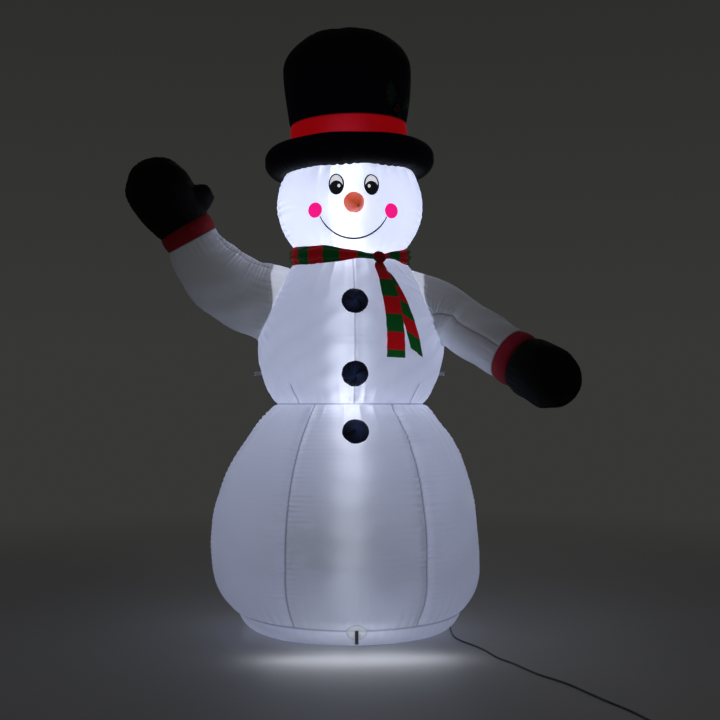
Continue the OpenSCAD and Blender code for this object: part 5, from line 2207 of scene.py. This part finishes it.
    def _tail(
        self, name: str, node: str, body: str, torso: Torso,
        line: tuple[tuple[float, float], tuple[float, float]], widths: tuple[float, float], lift: float,
        seed: int, start: float
    ) -> None:
        """Makes one hanging tail.

        Args:
            name: the piece's name.
            node: the CAD node that it stands for.
            body: the CAD body that it rides on.
            torso: what it hangs over.
            line: its top and its bottom, each a distance to the side and a height.
            widths: its width at the top and at the bottom.
            lift: height above the torso.
            seed: picks its folds.
            start: place of its top in the stripes.
        """
        azimuth = math.radians(24.0)
        rows, across = 120, 27
        t = np.linspace(0, 1, rows)[:, None]
        share = np.linspace(-1, 1, across)[None]
        (top_x, top_z), (low_x, low_z) = line
        width = widths[0] / 2 + (
            widths[1] / 2 - widths[0] / 2
        ) * np.clip(t * 3.0, 0, 1) ** 0.7 * (0.8 + 0.2 * t)
        x = top_x + (low_x - top_x) * t + share * width
        z = top_z + (low_z - top_z) * t - (low_x - top_x) * 0.28 * share * width / 0.05
        out = np.array([math.sin(azimuth), -math.cos(azimuth), 0.0])
        side = np.array([math.cos(azimuth), math.sin(azimuth), 0.0])
        height = np.clip(z, torso.shell.outline[0, 1], torso.shell.outline[-1, 1])
        radius = torso.shell.radius_at(height)
        reach = np.sqrt(np.maximum(radius**2 - x**2, 0.01))
        neck = bell(t, 0.07)
        fold = 0.0042 * np.sin(share * 5.5 + 1.2 * np.sin(4 * t) + seed) * (0.35 + 1.1 * neck + 0.35 * t)
        ripple = 0.0016 * sway(t + 0.1 * share, 7, seed + 1)
        away = reach + lift + 0.004 + np.maximum(fold, -0.0035) + ripple
        held = self.knot[1] + 0.008
        away = np.where(t < 0.12, away + (held - away) * np.clip(1 - t / 0.12, 0, 1) ** 1.5, away)
        points = away[..., None] * out + x[..., None] * side + z[..., None] * np.array([0, 0, 1.0])
        long = math.hypot(low_x - top_x, low_z - top_z)
        flat = np.stack([share * width, start + t * long + 0 * share], axis=-1)
        piece = make_piece(
            name, points, grid_faces(rows, across, False), Finish.SCARF_CLOTH, flat,
            {"glow": 3 + 13 * t + 0 * share}
        )
        rework(piece, turn_outwards)
        thicken(piece, self.thick)
        hang(piece, body, node)
        log.info("%s: %.0f mm long", name, 1000 * long)


def unit_rows(points: Array) -> Array:
    """Unit vectors from the upright axis to each point."""
    flat = points.copy()
    flat[..., 2] = 0
    return flat / np.maximum(np.linalg.norm(flat, axis=-1, keepdims=True), 1e-9)


# ---------------------------------------------------------------- tethers, zip and small parts


@dataclass
class SewnParts:
    """Webbing loops, the round patches at the base and the zip's tape."""

    side_height: float = 1.022
    side_eye: float = 0.3823
    side_width: float = 0.016
    base_eye: tuple[float, float] = (0.4629, 0.028)
    base_width: float = 0.0125
    base_seam: float = 0.069
    patch: float = 0.038
    zip_azimuth: float = -150.0
    zip_span: tuple[float, float] = (0.208, 0.412)
    tape_half: float = 0.017
    tape_thick: float = 0.0009
    webbing: float = 0.0015

    def _strip(self, name: str, line: Array, side: Point, width: float, finish: Finish) -> Piece:
        """Makes a flat strip of webbing along a line.

        Args:
            name: the piece's name.
            line: points of its middle line.
            side: the way its width lies.
            width: its width.
            finish: its finish.

        Returns:
            The piece.
        """
        across = np.linspace(-1, 1, 5)
        wide = unit(side)
        line = np.asarray(line, float)
        points = line[:, None] + across[None, :, None] * (width / 2) * wide
        along = np.concatenate([[0], np.cumsum(np.linalg.norm(np.diff(line, axis=0), axis=1))])
        flat = np.stack(
            [
                np.broadcast_to(across * width / 2, points.shape[:2]),
                np.broadcast_to(along[:, None], points.shape[:2])
            ], axis=-1
        )
        piece = make_piece(name, points, grid_faces(len(line), 5, False), finish, flat)
        thicken(piece, self.webbing)
        round_off = piece.modifiers.new("edge", "BEVEL")
        round_off.width, round_off.segments, round_off.limit_method = self.webbing * 0.3, 2, "ANGLE"
        hang(piece, "snowman")
        return piece

    def build(self, torso: Torso, belly: LowerBody, lamps: Lamps) -> None:
        """Makes all of the sewn parts."""
        for side in Side:
            reach = float(torso.shell.radius_at(np.array(self.side_height)))
            turn = np.radians(np.linspace(205, -205, 34))
            eye = np.stack([self.side_eye + 0.0044 * np.cos(turn), 0.0044 * np.sin(turn)], axis=1)
            start = [(reach + 0.003, 0.0014), (reach - 0.003, 0.0012)][::-1]
            end = [(reach - 0.003, -0.0012), (reach + 0.003, -0.0014)][::-1]
            flat = np.array([*start, *eye, *end])
            line = np.stack(
                [side.value * flat[:, 0], flat[:, 1], np.full(len(flat), self.side_height)], axis=1
            )
            name = f"tether_{side.name.lower()}"
            loop = self._strip(name, line, (0, 0, 1), self.side_width, Finish.GREY_WEBBING)
            if side is Side.LEFT:
                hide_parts("side_tethers")
        for end_of in End:
            reach, height = self.base_eye
            top = self.base_seam
            turn = np.radians(np.linspace(70, 70 - 320, 34))
            eye = np.stack([reach + 0.0048 * np.cos(turn), height + 0.0048 * np.sin(turn)], axis=1)
            flat = np.array(
                [
                    (reach + 0.0008, top + 0.004), (reach + 0.0016, top - 0.012), *eye,
                    (reach - 0.0012, top - 0.012), (reach - 0.0012, top + 0.002)
                ]
            )
            line = np.stack([np.zeros(len(flat)), end_of.value * flat[:, 0], flat[:, 1]], axis=1)
            word = end_of.name.lower()
            loop = self._strip(
                f"base_tether_{word}", line, (1, 0, 0), self.base_width, Finish.CHARCOAL_WEBBING,
            )
            if end_of is End.FRONT:
                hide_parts("base_tethers")
            self._patch(f"base_patch_{word}", end_of, belly, lamps)
        self._zip_tape(belly)
        log.info("sewn parts: four tethers, two patches and the zip's tape")

    def _patch(self, name: str, end: End, belly: LowerBody, lamps: Lamps) -> None:
        """Makes one round patch that holds a base tether, laid over the lower seam."""
        azimuth = 0.0 if end is End.FRONT else math.pi
        rings, around = 12, 56
        share = np.linspace(1, 0.04, rings)[:, None]
        turn = np.linspace(0, 2 * math.pi, around, endpoint=False)[None]
        x = self.patch * share * np.cos(turn)
        up = self.patch * share * np.sin(turn)
        along = belly.base_along + up
        radius = np.interp(along, belly.shell.steps, belly.shell.outline[:, 0])
        spot = belly.shell.spots(azimuth + x / radius, along)
        lift = np.where(share > 0.99, 0.0002, 0.0012) + 0.0007 * bell(share - 0.93, 0.05)
        points = spot.point + spot.normal * (belly.relief(spot) + lift + 0.0008)[..., None]
        points[..., 2] = np.maximum(points[..., 2], 0.001)
        faces = [tuple(reversed(f)) for f in grid_faces(rings, around, True)]
        faces.append(tuple(range((rings - 1) * around, rings * around)))
        flat = np.stack([x, up], axis=-1)
        edge = (1 - share) * self.patch * 1000 + 0 * turn
        piece = make_piece(
            name, points, faces, Finish.PATCH_TAFFETA, flat,
            {"glow": lamps.light_at(points, spot.normal), "seam_mm": edge + 1.5}
        )
        rework(piece, turn_outwards)
        hang(piece, "snowman")
        if end is End.FRONT:
            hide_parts("base_patches")

    def _zip_tape(self, belly: LowerBody) -> None:
        """Makes the zip's woven tape on the belly, with its stitched edges."""
        low, high = self.zip_span
        rows, across = 60, 13
        z = np.linspace(low, high, rows)[:, None]
        share = np.linspace(-1, 1, across)[None]
        wall = belly.shell.outline[len(belly.shell.outline) // 3 :]
        radius = np.minimum(np.interp(z, wall[:, 1], wall[:, 0]), belly.belly)
        azimuth = math.radians(self.zip_azimuth) + share * self.tape_half / radius
        reach = radius + 0.0018 - 0.0012 * np.abs(share) ** 6
        points = np.stack([reach * np.sin(azimuth), -reach * np.cos(azimuth), z + 0 * share], axis=-1)
        flat = np.stack([share * self.tape_half + 0 * z, z + 0 * share], axis=-1)
        piece = make_piece(
            "zip_tape_cloth", points, grid_faces(rows, across, False), Finish.CHARCOAL_WEBBING, flat
        )
        rework(piece, turn_outwards)
        thicken(piece, self.tape_thick)
        hang(piece, "snowman", "zip_tape")


@dataclass
class HardParts:
    """The blower, the zip's metal, the lamp string and the plug: solid parts shown as they were drawn."""

    finishes: tuple[tuple[Finish, tuple[str, ...]], ...] = (
        (Finish.BLACK_PLASTIC, ("blower_housing", "clamp_ring", "intake_grille", "outlet_guard", "impeller")),
        (Finish.BLACK_PLASTIC, ("motor_bracket", "cable_gland", "zip_teeth", "coil_tie")),
        (Finish.PLATED_STEEL, ("motor", "motor_shaft", "housing_screws")),
        (Finish.WHITE_PLASTIC, ("led_lead", "led_sockets")),
        (Finish.LAMP_LENS, ("led_bulbs",)),
        (Finish.ZINC, ("zip_slider", "zip_pull")),
        (Finish.JACKET, ("plug_body",)),
        (Finish.NICKEL, ("plug_pins",)),
        (Finish.GREY_WEBBING, ("led_hanger",)),
    )

    def build(self, nodes: dict[str, Piece]) -> None:
        """Gives each node its finish and smooth shading.

        Args:
            nodes: the CAD nodes by name.
        """
        for finish, names in self.finishes:
            for name in names:
                mesh = nodes[name].data
                mesh.materials.clear()
                mesh.materials.append(material_of(finish))
                mesh.shade_smooth()
                mesh.set_sharp_from_angle(angle=math.radians(32))
            log.info("%s: %s", finish.value.name, ", ".join(names))


def lamp_light(lamps: Lamps) -> None:
    """Hangs small lights evenly along the lamp string, which show as a soft core through the cloth.

    Args:
        lamps: the lamps inside.
    """
    heights = np.linspace(0.20, 2.0, 19)
    watts = np.interp(heights, CORE_HEIGHTS, CORE_WATTS)
    middle = lamps.centres
    for k, (height, power) in enumerate(zip(heights, watts, strict=True)):
        light = shown(f"lamp_{k + 1}", bpy.data.lights.new(f"lamp_{k + 1}", "POINT"))
        light.data.energy = float(power)
        light.data.color = LAMP_TINT
        light.data.shadow_soft_size = 0.05
        light.location = (float(np.interp(height, middle[:, 2], middle[:, 0])), 0.0, float(height))


def main() -> None:
    """Builds the scene from the camera to the smallest part."""
    logging.basicConfig(level=logging.INFO, format="%(message)s")
    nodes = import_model()["nodes"]
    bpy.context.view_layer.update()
    Studio().build()
    MainsLead().build()
    lamps = Lamps.from_frame()
    belly, torso, head, hat = LowerBody(), Torso(), Head(), Hat()
    belly.build(lamps)
    torso.build(lamps)
    head.build(lamps)
    CarrotNose().build(head)
    hat.build(lamps)
    Holly().build(hat, lamps)
    Buttons().build(torso, belly)
    for arm in (WAVING_ARM, LOWERED_ARM):
        arm.build(torso)
    Scarf().build(torso, lamps)
    SewnParts().build(torso, belly, lamps)
    HardParts().build(nodes)
    lamp_light(lamps)


if __name__ == "__main__":
    main()
